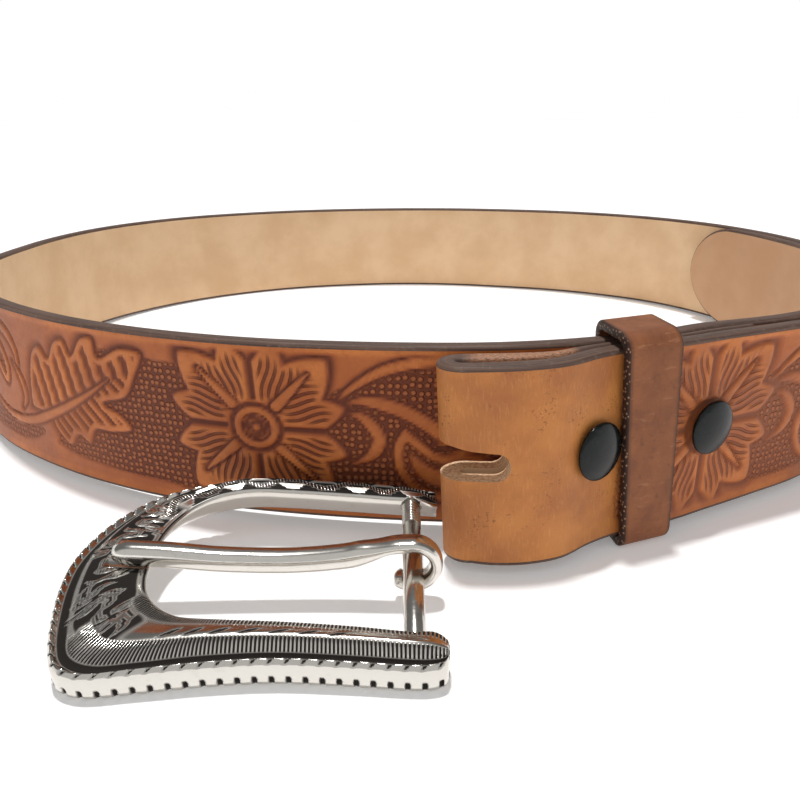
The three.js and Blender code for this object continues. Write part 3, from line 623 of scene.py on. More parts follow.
def flower(x, y, height):
    """One flower: ruffled lobes, sepals over them and a ringed middle. With the height it gives how far
    points lie inside the lobes, their place among the petals' fine ribs, and how strong those are there."""
    y = y - FLOWER_HEIGHT
    radius = np.hypot(x, y)
    around = np.degrees(np.arctan2(y, x))
    quarter_turn = (around + 405) % 90 - 45
    lobes = inside_lobes(x, y, radius, quarter_turn)
    height = carve(height, lobes, rise=0.9, spread=2.6)
    from_vein = (45 - np.abs(quarter_turn)) * DEGREE
    phase = (radius * np.sin(from_vein - RIB_SLANT * DEGREE) + 0.5 * np.sin(radius * 0.55)) / RIB_PITCH
    reach = ease((radius - RIBS_FROM) / 1.5) * ease((lobes - 0.95) / 0.9) * ease((RIBS_TO - radius) / 3)
    height = height - 0.2 * reach * ease((lobes - 0.9) / 1.2)
    height = np.where(lobes > 0, height + 0.1 * ease(radius / 18), height)
    sepals = inside_sepals(x, y)
    height = carve(height, sepals, top=0.08, rise=0.6, spread=0.9)
    sunk = np.minimum(height, -0.45 * ease((EYE_RADIUS - radius) / 0.8))
    height = np.where(radius < EYE_RADIUS, sunk, height)
    ring = np.minimum(RING_TO - radius, radius - RING_FROM)
    height = carve(height, ring, top=0.05, rise=0.7, spread=0.5)
    rays = 0.5 + 0.5 * np.cos(around * DEGREE * RAYS)
    height = np.where(radius < RAY_RADIUS, -0.5 + 0.22 * rays * ease((radius - 1.1) / 0.4), height)
    knob = KNOB_RADIUS - radius
    finger = reach * (sepals < -0.2)
    return np.where(knob > 0, -0.45 + 0.42 * ease(knob / 0.8), height), lobes, phase, finger


def leaf(x, y, height):
    """One broad leaf: a raised rim, slanted bars cut between it and the vein, and the vein itself. With the
    height it gives how far points lie inside the leaf or its vein."""
    inside = inside_outline(x, y, LEAF_OUTLINE)
    height = carve(height, inside, rise=0.7, spread=2.8)
    split, back, climb = BAR_SPLIT
    slant = x * 0.86 + np.where(y > split + (x + back) * climb, y * 0.18, y * 0.9)
    bars = 0.5 + 0.5 * np.cos(slant * 2 * math.pi / BAR_PITCH)
    hollow = ease((inside - 1.3) / 0.7) * ease((bars - 0.35) / 0.3)
    height = np.where(inside > 0, height - 0.42 * hollow, height)
    vein = inside_stroke(x, y, LEAF_VEIN, VEIN_WIDTHS)
    return carve(height, vein, top=0.06, rise=0.7, spread=0.9), np.maximum(inside, vein)


def design(x, y):
    """Height, beaded ground and petal ribs of one repeat of the design, at points laid flat."""
    height = np.full(x.shape, -PRESSED_DEPTH)
    beaded = np.zeros(x.shape)
    for outline in BEADED_GROUND:
        inside = inside_outline(x, y, outline)
        height = np.minimum(height, -CUT_DEPTH * 0.8 * ease(0.5 + inside / 0.9))
        beaded = np.maximum(beaded, ease(inside / 0.6))
    for path, widths in STROKES:
        inside = inside_stroke(x, y, path, widths)
        height = carve(height, inside, spread=1.5)
        beaded = kept_clear(beaded, inside)
        groove = np.abs(inside - max(widths) / 2 * 0.55)
        height = np.where(inside > 0.5, height - 0.1 * ease(1 - groove / 0.35), height)
    for outline in (PAISLEY, BUD):
        inside = inside_outline(x, y, outline)
        height = carve(height, inside, spread=1.3)
        height = np.where(inside > 0, height - 0.4 * ease((inside - 1.7) / 0.5), height)
        heart = inside - 3.3
        height = np.where(heart > 0, -0.4 + 0.36 * ease(heart / 0.6), height)
        beaded = np.where(inside > -0.4, ease((inside - 1.9) / 0.3) * (heart < -0.2) * 0.9, beaded)
    height, inside = leaf(x, y, height)
    beaded = kept_clear(beaded, inside)
    height, inside, phase, finger = flower(x, y, height)
    beaded = kept_clear(beaded, inside)
    inside_borders = band(y, 1.6, 1.6, STRAP_WIDTH - 1.3, 1.3)
    return height * inside_borders, beaded * inside_borders, phase, finger * inside_borders


# Strap: columns of points along the strip, laid round the loop.

FLOWER_FIRST = SNAP_ANGLES[1]
FLOWER_LAST = 345.8
FLOWERS = 6
TOOLED_FROM = 14.0
TOOLED_TO = 374.0
TOOLED_FADE = 2
# How far past its flower a repeat of the design ends and the next begins, and how far back the first reaches.
REPEAT_END = 62
FIRST_REACH = 40
WORN_TO = 333
FACE_ROWS = 67
EDGE_ROWS = 4
BACK_ROWS = 7


def strip_columns():
    """Angle, foot, outward normal, thickness and half height of each column: flap, fold, strand and tip."""
    parts = []

    def add(angle, foot, out, thickness, half=STRAP_WIDTH / 2):
        columns = (angle, thickness, half)
        angle, thickness, half = (np.broadcast_to(column, len(foot)) for column in columns)
        parts.append((angle, foot, out, thickness, half))

    flap = np.arange(FLAP_END_ANGLE, FOLD_ANGLE + 0.45, -0.9)
    foot, _, out = strand_at(flap_radius, flap)
    add(flap, foot, -out, flap_thickness(flap))
    front = polar(FOLD_ANGLE, outer_radius(FOLD_ANGLE))
    back = polar(FOLD_ANGLE, flap_radius(FOLD_ANGLE))
    t = np.linspace(0, 1, 17)
    turn = t * math.pi + FOLD_ANGLE * DEGREE
    out = np.stack([-np.sin(turn), np.cos(turn)], axis=-1)
    radius = np.linalg.norm(front - back) / 2
    add(FOLD_ANGLE, (front + back) / 2 + out * radius, out,
        FLAP_THICKNESS + (STRAP_THICKNESS - FLAP_THICKNESS) * t)
    tip_from = TIP_ANGLE - TIP_LENGTH / (float(spiral_radius(TIP_ANGLE)) * DEGREE)
    strand = np.concatenate([np.arange(*run) for run in (
        (FOLD_ANGLE + 0.5, 14.8, 0.5), (15, 46, 0.25), (46, 303.5, 0.5), (304, 361.5, 0.25),
        (362, tip_from, 1.4))])
    foot, _, out = strand_at(spiral_radius, strand)
    add(strand, foot, out, STRAP_THICKNESS)
    turned_by = np.linspace(0, 0.97, 18) * math.pi / 2
    at = tip_from + (TIP_ANGLE - tip_from) * np.sin(turned_by)
    foot, _, out = strand_at(spiral_radius, at)
    add(at, foot, out, STRAP_THICKNESS, STRAP_WIDTH / 2 * np.cos(turned_by))
    return [np.concatenate(column) for column in zip(*parts)]


def strap_profile(thickness, half):
    """Points round one section, from the foot of the grain side up it, over the edge and down the back."""
    edge = np.minimum(np.minimum(EDGE_ROUND, thickness * 0.4), half * 0.5)[:, None]
    face = np.linspace(-1, 1, FACE_ROWS)[None, :]
    back = np.linspace(1, -1, BACK_ROWS)[None, :]
    turn = (np.arange(1, EDGE_ROWS + 1) / (EDGE_ROWS + 1) * math.pi / 2)[None, :]
    straight = half[:, None] - edge
    depth = thickness[:, None] / 2
    across = [depth + 0 * face, depth - edge + edge * np.cos(turn), -depth + edge - edge * np.sin(turn),
              -depth + 0 * back, -depth + edge - edge * np.cos(turn), depth - edge + edge * np.sin(turn)]
    up = [straight * face, straight + edge * np.sin(turn), straight + edge * np.cos(turn),
          straight * back, -straight - edge * np.sin(turn), -straight - edge * np.cos(turn)]
    return np.concatenate(across, axis=1), np.concatenate(up, axis=1)


def strap_rings():
    """Rings round the strip, and the facts that its materials need, by column and point."""
    angle, foot, out, thickness, half = strip_columns()
    across, up = strap_profile(thickness, half)
    along = lengths(foot + out * thickness[:, None] / 2)
    strand = np.arange(len(angle)) >= np.flatnonzero(np.diff(angle) > 0)[0]
    height_at = STRAP_WIDTH / 2 + up[:, :FACE_ROWS]
    relief, beaded, phase, finger = (np.zeros(height_at.shape) for _ in range(4))
    strand_angle = np.where(strand, angle, -1)
    flower_angles = np.linspace(FLOWER_FIRST, FLOWER_LAST, FLOWERS)
    flower_along = np.interp(flower_angles, angle[strand], along[strand])
    pitch = float(np.diff(flower_along).mean())
    for number, middle in enumerate(flower_along):
        x = along - middle
        low = REPEAT_END - pitch if number else -FIRST_REACH
        here = (strand & (x >= low) & (x < REPEAT_END)
                & (strand_angle > TOOLED_FROM) & (strand_angle < TOOLED_TO))
        xx = np.repeat(x[here][:, None], FACE_ROWS, axis=1)
        relief[here], beaded[here], phase[here], finger[here] = design(xx, height_at[here])
    fade = band(strand_angle, TOOLED_FROM, TOOLED_FADE, TOOLED_TO, TOOLED_FADE)[:, None]
    across[:, :FACE_ROWS] += relief * fade
    sine, cosine = np.sin(angle * DEGREE), np.cos(angle * DEGREE)
    away = np.stack([sine, -cosine], axis=-1)
    around = np.stack([cosine, sine], axis=-1)
    lean = spiral_lean(angle)
    height = STRAP_WIDTH / 2 + up
    slid = (FOLD_SLANT * near_fold(angle))[:, None] * up
    plan = (foot[:, None, :] + out[:, None, :] * across[..., None]
            + away[:, None, :] * (lean[:, None] * height)[..., None] + around[:, None, :] * slid[..., None])
    base = lift_at(foot[:, 1]) - FOLD_DROOP * near_fold(angle)
    rings = np.concatenate([plan, (base[:, None] + height)[..., None]], axis=-1)
    worn = ease((WORN_TO - angle) / 12)
    # Painted shade: rises to 1 over the strip's last stretch towards the tip, where the flesh side is
    # darkened.
    tip = ease((strand_angle - TIP_ANGLE + 60) / 10)
    flap = (angle > FOLD_ANGLE + 0.8) & (angle < 11) & ~strand
    facts = {"relief": relief * fade, "beaded": beaded * fade, "phase": phase, "finger": finger * fade}
    for name, column, count in (("tooled", fade[:, 0], FACE_ROWS), ("worn", worn, FACE_ROWS),
                                ("tip", tip, rings.shape[1]), ("flap", flap * 1.0, rings.shape[1])):
        facts[name] = np.repeat(column[:, None], count, axis=1)
    return rings, facts


def record_facts(piece, rings, facts):
    """Stores facts known at the rings' points as attributes of the piece's vertices."""
    mesh = piece.data
    index = np.zeros(len(mesh.vertices), np.int32)
    mesh.attributes["spot"].data.foreach_get("value", index)
    column, point = index // rings.shape[1], index % rings.shape[1]
    for name, values in facts.items():
        known = point < values.shape[1]
        value = np.zeros(len(index), np.float32)
        value[known] = values[column[known], point[known]]
        mesh.attributes.new(name, "FLOAT", "POINT").data.foreach_set("value", value)


def make_strap():
    """The strap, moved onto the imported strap's box, with that move and its rings."""
    rings, facts = strap_rings()
    low, high = rings.reshape(-1, 3).min(0), rings.reshape(-1, 3).max(0)
    cad_low, cad_high = (np.array(corner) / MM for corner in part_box("strap"))
    shift = np.array([*((cad_low + cad_high - low - high) / 2)[:2], cad_low[2] - low[2]])
    rings = rings + shift
    strap = skin("strap_leather", rings)
    record_facts(strap, rings, facts)
    return strap, shift, rings


strap, shift, strap_points = make_strap()


# Leather.

GRAIN, EDGE, BACK, RAW = range(4)
BEAD_SPACING = 1.45


def leather_grain():
    """Grain side: dyed tan, darkened in the carving, with beads stamped in its ground."""
    s = Shader("tooled_leather")
    flat = s.uv(FLAT_MM)
    tooled, worn, beaded = (s.attribute(name) for name in ("tooled", "worn", "beaded"))
    depth = s.attribute("relief") * (-1 / CUT_DEPTH)
    bead = beaded * (1 - s.cells(flat, 1 / BEAD_SPACING, 0.35).step(0.24, 0.46))
    ribs = (s.attribute("phase") * (2 * math.pi)).sine().step(-0.1, 0.75) * s.attribute("finger")
    cloud = s.noise(flat, 0.07, detail=4)
    blotch = s.noise(flat, 0.5, detail=5, roughness=0.65)
    pores = s.noise(flat, 3.4, detail=3, roughness=0.7)
    wrinkle = s.noise(s.uv((2600, 420, 1)), 1, detail=3, distortion=0.6)
    specks = s.noise(flat, 0.16, detail=2).step(0.56, 0.66) * s.noise(flat, 1.7, detail=2).step(0.55, 0.64)
    dark = depth.step(0.25, 0.95).most(ribs * 0.85)
    plain = s.tint(shade(198, 128, 66),
                   (cloud.step(0.35, 0.7), shade(178, 108, 54)),
                   (specks * 0.55, shade(96, 54, 32)))
    dyed = s.tint(shade(200, 118, 58),
                  (cloud.step(0.3, 0.72), shade(172, 94, 45)),
                  (blotch.step(0.45, 0.75) * 0.5, shade(158, 84, 40)),
                  (depth.step(0.02, 0.35) * 0.62, shade(146, 70, 34)))
    cuts = s.tint(shade(88, 36, 19), (worn * 0.6, shade(142, 80, 50)))
    colour = s.tint(plain,
                    (tooled, dyed),
                    (dark * 0.94, cuts),
                    (worn * cloud.step(0.4, 0.7) * 0.3, shade(150, 96, 66)),
                    (wrinkle.step(0.5, 0.75) * (1 - tooled) * 0.22, shade(226, 166, 104)),
                    (bead * 0.8, shade(172, 100, 60)),
                    (pores.step(0.52, 0.75) * 0.25, shade(112, 58, 32)))
    height = bead * 0.5 + pores * 0.06 + blotch * 0.05 + wrinkle * 0.07 - ribs * 0.4
    return s.finish(Base_Color=colour, Roughness=0.4 + blotch * 0.18 + dark * 0.12,
                    Normal=s.bump(height, 0.001, 0.9), Specular_IOR_Level=0.3)


def leather_edge():
    """Burnished edge: dull grey brown, with fine lines along it, and raw where the flap was thinned."""
    s = Shader("burnished_edge")
    lines = s.noise(s.uv((50, 2200, 1)), 1, detail=3)
    spots = s.noise(s.uv(FLAT_MM), 0.8, detail=4)
    fibre = s.noise(s.uv((1500, 4200, 1)), 1, detail=4, roughness=0.7)
    colour = s.tint(shade(104, 78, 64),
                    (lines.step(0.3, 0.7), shade(66, 47, 38)),
                    (spots.step(0.5, 0.75) * 0.5, shade(120, 100, 84)),
                    (s.attribute("flap") * fibre.step(0.35, 0.6), shade(186, 132, 96)))
    return s.finish(Base_Color=colour, Roughness=0.55 + spots * 0.15,
                    Normal=s.bump(lines * 0.4 + spots * 0.3, 0.0004, 0.6))


def leather_back():
    """Flesh side: pale, smooth, with a faint nap, and painted shade darkening it towards the tip."""
    s = Shader("flesh_side")
    flat = s.uv(FLAT_MM)
    nap = s.noise(flat, 3.2, detail=4, roughness=0.7)
    # The last layer is painted shade, darkening the flesh side towards the tip.
    colour = s.tint(shade(234, 200, 160),
                    (s.noise(flat, 0.05, detail=4).step(0.3, 0.7), shade(220, 182, 140)),
                    (nap.step(0.5, 0.75) * 0.3, shade(196, 154, 112)),
                    (s.attribute("tip") * 0.6, shade(176, 122, 84)))
    return s.finish(Base_Color=colour, Roughness=0.62 + nap * 0.15, Normal=s.bump(nap, 0.0003, 0.35))


def raw_leather():
    """Cut walls: pale, fibrous, undyed leather."""
    s = Shader("raw_cut")
    fibre = s.noise(s.place((1600, 1600, 5200)), 1, detail=3)
    colour = s.tint(shade(238, 206, 170), (fibre.step(0.35, 0.7), shade(196, 150, 110)))
    return s.finish(Base_Color=colour, Roughness=0.85, Normal=s.bump(fibre, 0.0004, 0.6))


def paint_strap(piece):
    """Grain, edge and flesh side by where a face's middle lies round the strip. End caps are edge."""
    points = strap_points.shape[1]
    uv, polygons = piece.data.uv_layers["UVMap"].data, piece.data.polygons
    coordinates = np.zeros(len(uv) * 2)
    uv.foreach_get("uv", coordinates)
    across = np.interp(coordinates[1::2] / MM, girth_of(strap_points), np.arange(points + 1))
    starts, totals = np.zeros(len(polygons), int), np.zeros(len(polygons), int)
    polygons.foreach_get("loop_start", starts)
    polygons.foreach_get("loop_total", totals)
    middle = np.add.reduceat(across, starts) / totals
    edge = FACE_ROWS - 0.5 + 2 * EDGE_ROWS
    kind = np.full(len(middle), EDGE, np.int32)
    kind[(middle >= edge) & (middle < edge + BACK_ROWS)] = BACK
    kind[middle < FACE_ROWS - 0.9] = GRAIN
    kind[totals > 4] = EDGE
    polygons.foreach_set("material_index", kind)


for material in (leather_grain(), leather_edge(), leather_back()):
    strap.data.materials.append(material)
paint_strap(strap)
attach(strap, "root")
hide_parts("strap")


# Slot and holes.

# The slot as the photograph shows it is shorter than the source's and flares towards the fold's mouth.
SLOT_SHORTER = 2.2
SLOT_ROUND = 0.53
SLOT_LOWER = ((-SLOT_LENGTH, -3.2), (-4, -3.3))
SLOT_UPPER = ((0.5, 2.5), (-2.5, 3.2), (-SLOT_LENGTH, 4.4))


def face_at(radius_at, angle, height):
    """A point of the strap's middle plane at a height, and its outward direction, in the part's frame."""
    foot, _, out = strand_at(radius_at, angle)
    lean = float(spiral_lean(angle))
    plan = foot + out * (lean * height)
    point = np.array([plan[0], plan[1], float(lift_at(foot[1])) + height]) + shift
    return Vector(point), Vector((out[0], out[1], -lean)).normalized()


def slot_cutter():
    """The prong slot: flared at the fold's mouth, with a round inner end, through both layers."""
    nose = (polar(FOLD_ANGLE, outer_radius(FOLD_ANGLE)) + polar(FOLD_ANGLE, flap_radius(FOLD_ANGLE))) / 2
    layers = float(outer_radius(FOLD_ANGLE) - flap_radius(FOLD_ANGLE))
    end = SLOT_LENGTH - layers / 2 - STRAP_THICKNESS / 2 - SLOT_SHORTER
    radius = SLOT_HEIGHT * SLOT_ROUND
    turn = np.linspace(-math.pi / 2, math.pi / 2, 15)
    nose_end = np.stack([end - radius + radius * np.cos(turn), -0.5 + radius * np.sin(turn)], axis=-1)
    outline = np.vstack([SLOT_LOWER, nose_end, SLOT_UPPER])
    back = float(polar(FOLD_ANGLE, flap_radius(FOLD_ANGLE))[1]) + float(flap_thickness(FOLD_ANGLE)) + 1.1
    front = back - layers - 2 * STRAP_THICKNESS - 5
    height = float(lift_at(nose[1])) + STRAP_WIDTH / 2 + FITTINGS_RISE
    rings = np.array([[[nose[0] + x, y, height + z] for x, z in outline] for y in (front, back)]) + shift
    return skin("slot", rings)


def hole_cutter(number):
    """One of the tip's adjustment holes, counted from the tip."""
    from_tip = FIRST_HOLE_FROM_TIP + number * HOLE_SPACING
    angle = TIP_ANGLE - from_tip / (float(spiral_radius(TIP_ANGLE)) * DEGREE)
    point, normal = face_at(spiral_radius, angle, STRAP_WIDTH / 2)
    reach = STRAP_THICKNESS / 2 + LAYER_GAP
    hole = plug("hole", HOLE_DIAMETER / 2, reach, 32)
    return place_mesh(hole, standing_on(point * MM, normal))


strap.data.materials.append(raw_leather())
cutters = [slot_cutter()] + [hole_cutter(number) for number in range(HOLE_COUNT)]
for cutter in cutters:
    for material in strap.data.materials:
        cutter.data.materials.append(material)
    cutter.data.polygons.foreach_set("material_index", [RAW] * len(cutter.data.polygons))
cut_away(strap, cutters)


# Keeper.

KEEPER_ROUND = 0.5
KEEPER_TAPER = 0.055
KEEPER_SPACING, SECTION_SPACING = 0.6, 0.7


def keeper_rings():
    """Rings round the keeper: each a rounded strip section, carried round the strands that it holds."""
    foot, along, out = strand_at(outer_radius, KEEPER_ANGLE)
    lean = float(spiral_lean(KEEPER_ANGLE))
    height = STRAP_WIDTH + 2 * (KEEPER_WALL + KEEPER_CLEARANCE) + KEEPER_HEADROOM
    half_run = (KEEPER_WIDTH + abs(KEEPER_SLANT) * height) / 2
    per_degree = float(outer_radius(KEEPER_ANGLE)) * DEGREE
    skewed = KEEPER_SKEW * float(outer_radius(KEEPER_ANGLE) - spiral_radius(KEEPER_ANGLE + 360))
    front = back = 0.0
    for side in (-1, -0.5, 0, 0.5, 1):
        angle = KEEPER_ANGLE + side * half_run / per_degree
        behind = angle + 360 + skewed / per_degree
        outer = float((strand_at(outer_radius, angle)[0] - foot) @ out)
        inner = float((strand_at(spiral_radius, behind)[0] - foot) @ out)
        outer_lean = max(0, float(spiral_lean(angle) - lean) * STRAP_WIDTH)
        inner_lean = min(0, float(spiral_lean(behind) - lean) * STRAP_WIDTH)
        front = max(front, outer + STRAP_THICKNESS / 2 + outer_lean)
        back = min(back, inner - STRAP_THICKNESS / 2 + inner_lean)
    front += KEEPER_CLEARANCE
    back -= KEEPER_CLEARANCE
    corner = KEEPER_CORNER
    left, right = back - KEEPER_WALL + corner, front + KEEPER_WALL - corner
    path = []
    for cx, cy, start in ((right, corner, -90), (right, height - corner, 0), (left, height - corner, 90),
                          (left, corner, 180)):
        for turn in np.linspace(start, start + 90, 13):
            path.append((cx, cy, math.cos(turn * DEGREE), math.sin(turn * DEGREE)))
    path = np.array(path)
    dense = []
    for a, b in zip(path, np.roll(path, -1, axis=0)):
        start, stop = a[:2] + corner * a[2:], b[:2] + corner * b[2:]
        steps = max(1, int(np.linalg.norm(stop - start) / KEEPER_SPACING))
        for k in range(steps):
            t = k / steps
            normal = a[2:] * (1 - t) + b[2:] * t
            dense.append((*(start * (1 - t) + stop * t), *(normal / np.linalg.norm(normal))))
    dense.append(dense[0])
    section = []
    half, round_by, wall = KEEPER_WIDTH / 2, KEEPER_ROUND, KEEPER_WALL
    straight, deep = half - round_by, wall - round_by
    for run, depth, start in ((straight, round_by, 0), (-straight, round_by, 90), (-straight, deep, 180),
                              (straight, deep, 270)):
        for turn in np.linspace(start, start + 90, 5) * DEGREE:
            section.append((run + round_by * math.cos(turn), depth - round_by * math.sin(turn)))
    spread = []
    for a, b in zip(section, section[1:] + section[:1]):
        steps = max(1, int(math.dist(a, b) / SECTION_SPACING))
        spread += [(a[0] + (b[0] - a[0]) * k / steps, a[1] + (b[1] - a[1]) * k / steps) for k in range(steps)]
    rings = []
    for x, y, nx, ny in dense:
        ring = []
        for run, depth in spread:
            taper = 1 + KEEPER_TAPER * (y / height - 0.35) * 2
            px, py = x - nx * depth, y - ny * depth
            across = px + lean * py
            slide = run * taper + KEEPER_SLANT * (py - height / 2) + KEEPER_SKEW * max(0, front - px)
            plan = foot + out * across + along * slide
            ring.append((plan[0], plan[1], py))
        rings.append(ring)
    rings = np.array(rings) + shift
    edge = [ease((abs(run) - half + 0.75) / 0.5) for run, depth in spread]
    return rings, {"edge": np.array([edge] * len(rings))}


def keeper_leather():
    """Brown leather with dark burnished edges, flecked along them."""
    s = Shader("keeper_leather")
    flat = s.uv(FLAT_MM)
    edge = s.attribute("edge")
    blotch = s.noise(flat, 0.7, detail=4)
    pores = s.noise(flat, 4.5, detail=3, roughness=0.7)
    scuffs = s.noise(s.uv((1400, 300, 1)), 0.6, detail=4, roughness=0.7)
    flecks = (1 - s.cells(flat, 0.95, 0.9).step(0.1, 0.26)) * edge.step(0.9, 1)
    colour = s.tint(shade(148, 90, 54),
                    (s.noise(flat, 0.12, detail=5, roughness=0.6).step(0.3, 0.7), shade(124, 74, 46)),
                    (blotch.step(0.5, 0.8) * 0.5, shade(96, 60, 40)),
                    (pores.step(0.55, 0.75) * 0.3, shade(78, 46, 30)),
                    (scuffs.step(0.56, 0.72) * 0.4, shade(186, 130, 92)),
                    (edge * 0.94, shade(38, 24, 20)),
                    (flecks * 0.6, shade(190, 150, 120)))
    return s.finish(Base_Color=colour, Roughness=0.5 + pores * 0.15, Specular_IOR_Level=0.28,
                    Normal=s.bump(pores * 0.6 + blotch * 0.4, 0.0004, 0.5))


keeper_points, keeper_facts = keeper_rings()
keeper = skin("keeper_leather", keeper_points, ring_closed=True)
record_facts(keeper, keeper_points, keeper_facts)
keeper.data.materials.append(keeper_leather())
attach(keeper, "root")
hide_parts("keeper")


# Snaps.

CAP_ROLL = 0.45
CAP_SHOULDER = 0.95


def snap_black():
    """Black lacquer on steel, faintly scuffed."""
    s = Shader("snap_black")
    scuff = s.noise(s.place((900, 900, 900)), 1.2, detail=5)
    colour = s.tint((0.004, 0.005, 0.005), (scuff.step(0.4, 0.75), (0.009, 0.012, 0.011)))
    return s.finish(Base_Color=colour, Roughness=0.14 + scuff * 0.14, Specular_IOR_Level=0.24,
                    Normal=s.bump(scuff, 0.00006, 0.3))


def make_cap(number, material):
    """A low domed cap with a rolled rim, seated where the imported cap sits."""
    node = frame["nodes"][f"snap_{number}_cap"]
    co = np.array([vert.co for vert in node.data.vertices])
    _, normal = face_at(outer_radius, SNAP_ANGLES[number - 1], 0)
    depth = co @ np.array(normal)
    back = co[depth < depth.min() + 0.00005]
    centre = (back.min(0) + back.max(0)) / 2
    centre = centre + np.array(normal) * (depth.min() - centre @ np.array(normal))
    radius, roll, shoulder = CAP_DIAMETER / 2, CAP_ROLL, CAP_SHOULDER
    rim = [(radius - roll + roll * math.cos(a), 0.5 + roll * math.sin(a)) for a in np.linspace(-1.4, 1.3, 9)]
    dome = [(r, shoulder + (CAP_HEIGHT - shoulder) * (1 - (r / (radius - 0.3)) ** 2.2))
            for r in np.linspace(radius - 0.55, 0, 12)]
    cap = turned(f"snap_cap_{number}", [(0, 0), (radius - 0.6, 0), *rim, *dome], 72)
    place_mesh(cap, standing_on(centre, normal))
    cap.data.materials.append(material)
    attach(cap, "root")
    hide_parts(f"snap_{number}_cap")


black = snap_black()
for number in (1, 2):
    make_cap(number, black)


def snap_steel():
    s = Shader("snap_steel")
    streak = s.noise(s.place((1500, 1500, 1500)), 1, detail=3)
    colour = s.tint((0.5, 0.49, 0.47), (streak, (0.36, 0.35, 0.34)))
    return s.finish(Base_Color=colour, Metallic=1, Roughness=0.3 + streak * 0.15)


steel = snap_steel()
for number in (1, 2):
    node = frame["nodes"][f"snap_{number}_post"]
    node.data.materials.clear()
    node.data.materials.append(steel)


# Buckle, modelled lying flat with its bar along Y, then tilted onto its place.

HINGE = Vector(frame["joints"][0]["pos_m"])
BUCKLE_PLACE = (Matrix.Translation(HINGE) @ Matrix.Rotation(BUCKLE_TILT * DEGREE, 4, "X")
                @ Matrix.Translation((0, 0, -BAR_HEIGHT * MM)))
LAID_BAR = Matrix.Translation((0, 0, BAR_HEIGHT * MM)) @ Matrix.Rotation(math.pi / 2, 4, "X")
SOCKET_PLAY, SOCKET_DEPTH = 0.36, 1.86
SLEEVE_RIBS, SLEEVE_PITCH, SLEEVE_FROM, SLEEVE_CUT = 9, 0.85, 2.2, 0.22
EYE_TURNS = range(98, -141, -17)
PRONG_STEPS = 10
PRONG_SIDES = 28
# The shank thins to the loop's wall over its last points. Its section is a circle drawn towards a square.
THINNING_POINTS = 16
TIP_SHARE, TIP_ROUND, LOOP_END_ROUND = 0.32, 3, 0.7
SQUARENESS = 0.85
NOTCH_BEYOND_TIP = 1.5
BAR_END, BAR_BEVEL = 1.5, 0.2
FRAME_LENGTH = WINDOW_LENGTH + END_WIDTH
FRAME_HALF = BAR_CLEAR / 2 + ARM_WIDTH
ROPE_PITCH = 2.5
ROPE_KNOT, ROPE_REACH, ROPE_SLANT = 4, 1.05, 0.32
ROPE_DEPTH, ROPE_RISE = 0.62, 0.12
CHANNEL_KNOT, CHANNEL_REACH, CHANNEL_DEPTH = 5.15, 0.22, 0.3
DENTIL_DEPTH = 0.5
CUT_HEIGHT = 0.16
FRAME_STEP = 0.25
# Points added after each corner of the frame's section, from the foot of its outer wall round to its base.
SECTION_STEPS = (1, 7, 3, 5, 5, 6, 6, 6, 4, 2, 5, 2, 2, 4)
# The dome lies between two corners of the section. Across it runs from 0 at the rope to 1 at the window.
DOME_FROM, DOME_TO = 5, 9.4

# Engraving on the dome laid flat, in millimetres along the frame and across the dome: the leaf cuts of the
# near arm, the scrolls of the shoulder and the wavy braid of the far arm.
SHOULDER_FROM, SHOULDER_TO = 52, 112
LEAF_CUTS, LEAF_CUT_FIRST, LEAF_CUT_PITCH = 7, 16, 4.6
SCROLL_CUTS = 7
# Scrolls: middle along the frame, middle across the dome, size, turn. A scroll's cuts bend as they run out.
SCROLLS = (
    (61, 4.6, 0.9, 20), (70, 3.2, 1.0, 80), (79.5, 5.2, 1.05, 150), (88, 3.0, 0.95, 200),
    (96, 4.6, 0.85, 300), (104, 3.6, 0.7, 30),
)
SCROLL_PATH = ((1.0, 0), (2.7, 0.22), (4.1, 0.6), (4.9, 1.05))
DOME_WIDTH = 8
HATCH_PITCH = 0.62
BRAID_MIDDLE, BRAID_WAVE, BRAID_PITCH = 0.66, 0.15, 12.5


def frame_section(width, crest):
    """Points of the frame's section, as inset and height, and the corner that each comes after."""
    groove = np.minimum(2 * ROPE_RADIUS, width * 0.4)
    dome, top = width - groove, FRAME_CREST * crest
    rope_low = ROPE_TOP - 0.6
    corners = [
        (0.5, 0), (0, 0.7), (0, ROPE_TOP - 1.6), (0.1, rope_low), (groove / 2, ROPE_TOP + 0.15),
        (groove, rope_low), (groove + dome * 0.28, rope_low + (top - rope_low) * 0.75),
        (groove + dome * 0.52, top), (groove + dome * 0.8, top - 0.5),
        (width + INNER_LIP * 0.9, np.minimum(top - 0.8, ROPE_TOP + 0.8)),
        (width + INNER_LIP, np.minimum(top - 1.4, ROPE_TOP)),
        (width + INNER_LIP * 0.2, 2.4), (width - 0.4, 1.6), (width * 0.8, 0),
    ]
    corners = np.array([[np.broadcast_to(v, width.shape) for v in corner] for corner in corners], float)
    section, knot = [], []
    for k, count in enumerate(SECTION_STEPS):
        following = corners[(k + 1) % len(corners)]
        for j in range(count):
            section.append(corners[k] + (following - corners[k]) * (j / count))
            knot.append(k + j / count)
    section = np.array(section)
    for _ in range(2):
        section = 0.25 * np.roll(section, 1, axis=0) + 0.5 * section + 0.25 * np.roll(section, -1, axis=0)
    return section[:, 0].T, section[:, 1].T, np.broadcast_to(knot, (len(width), len(knot)))


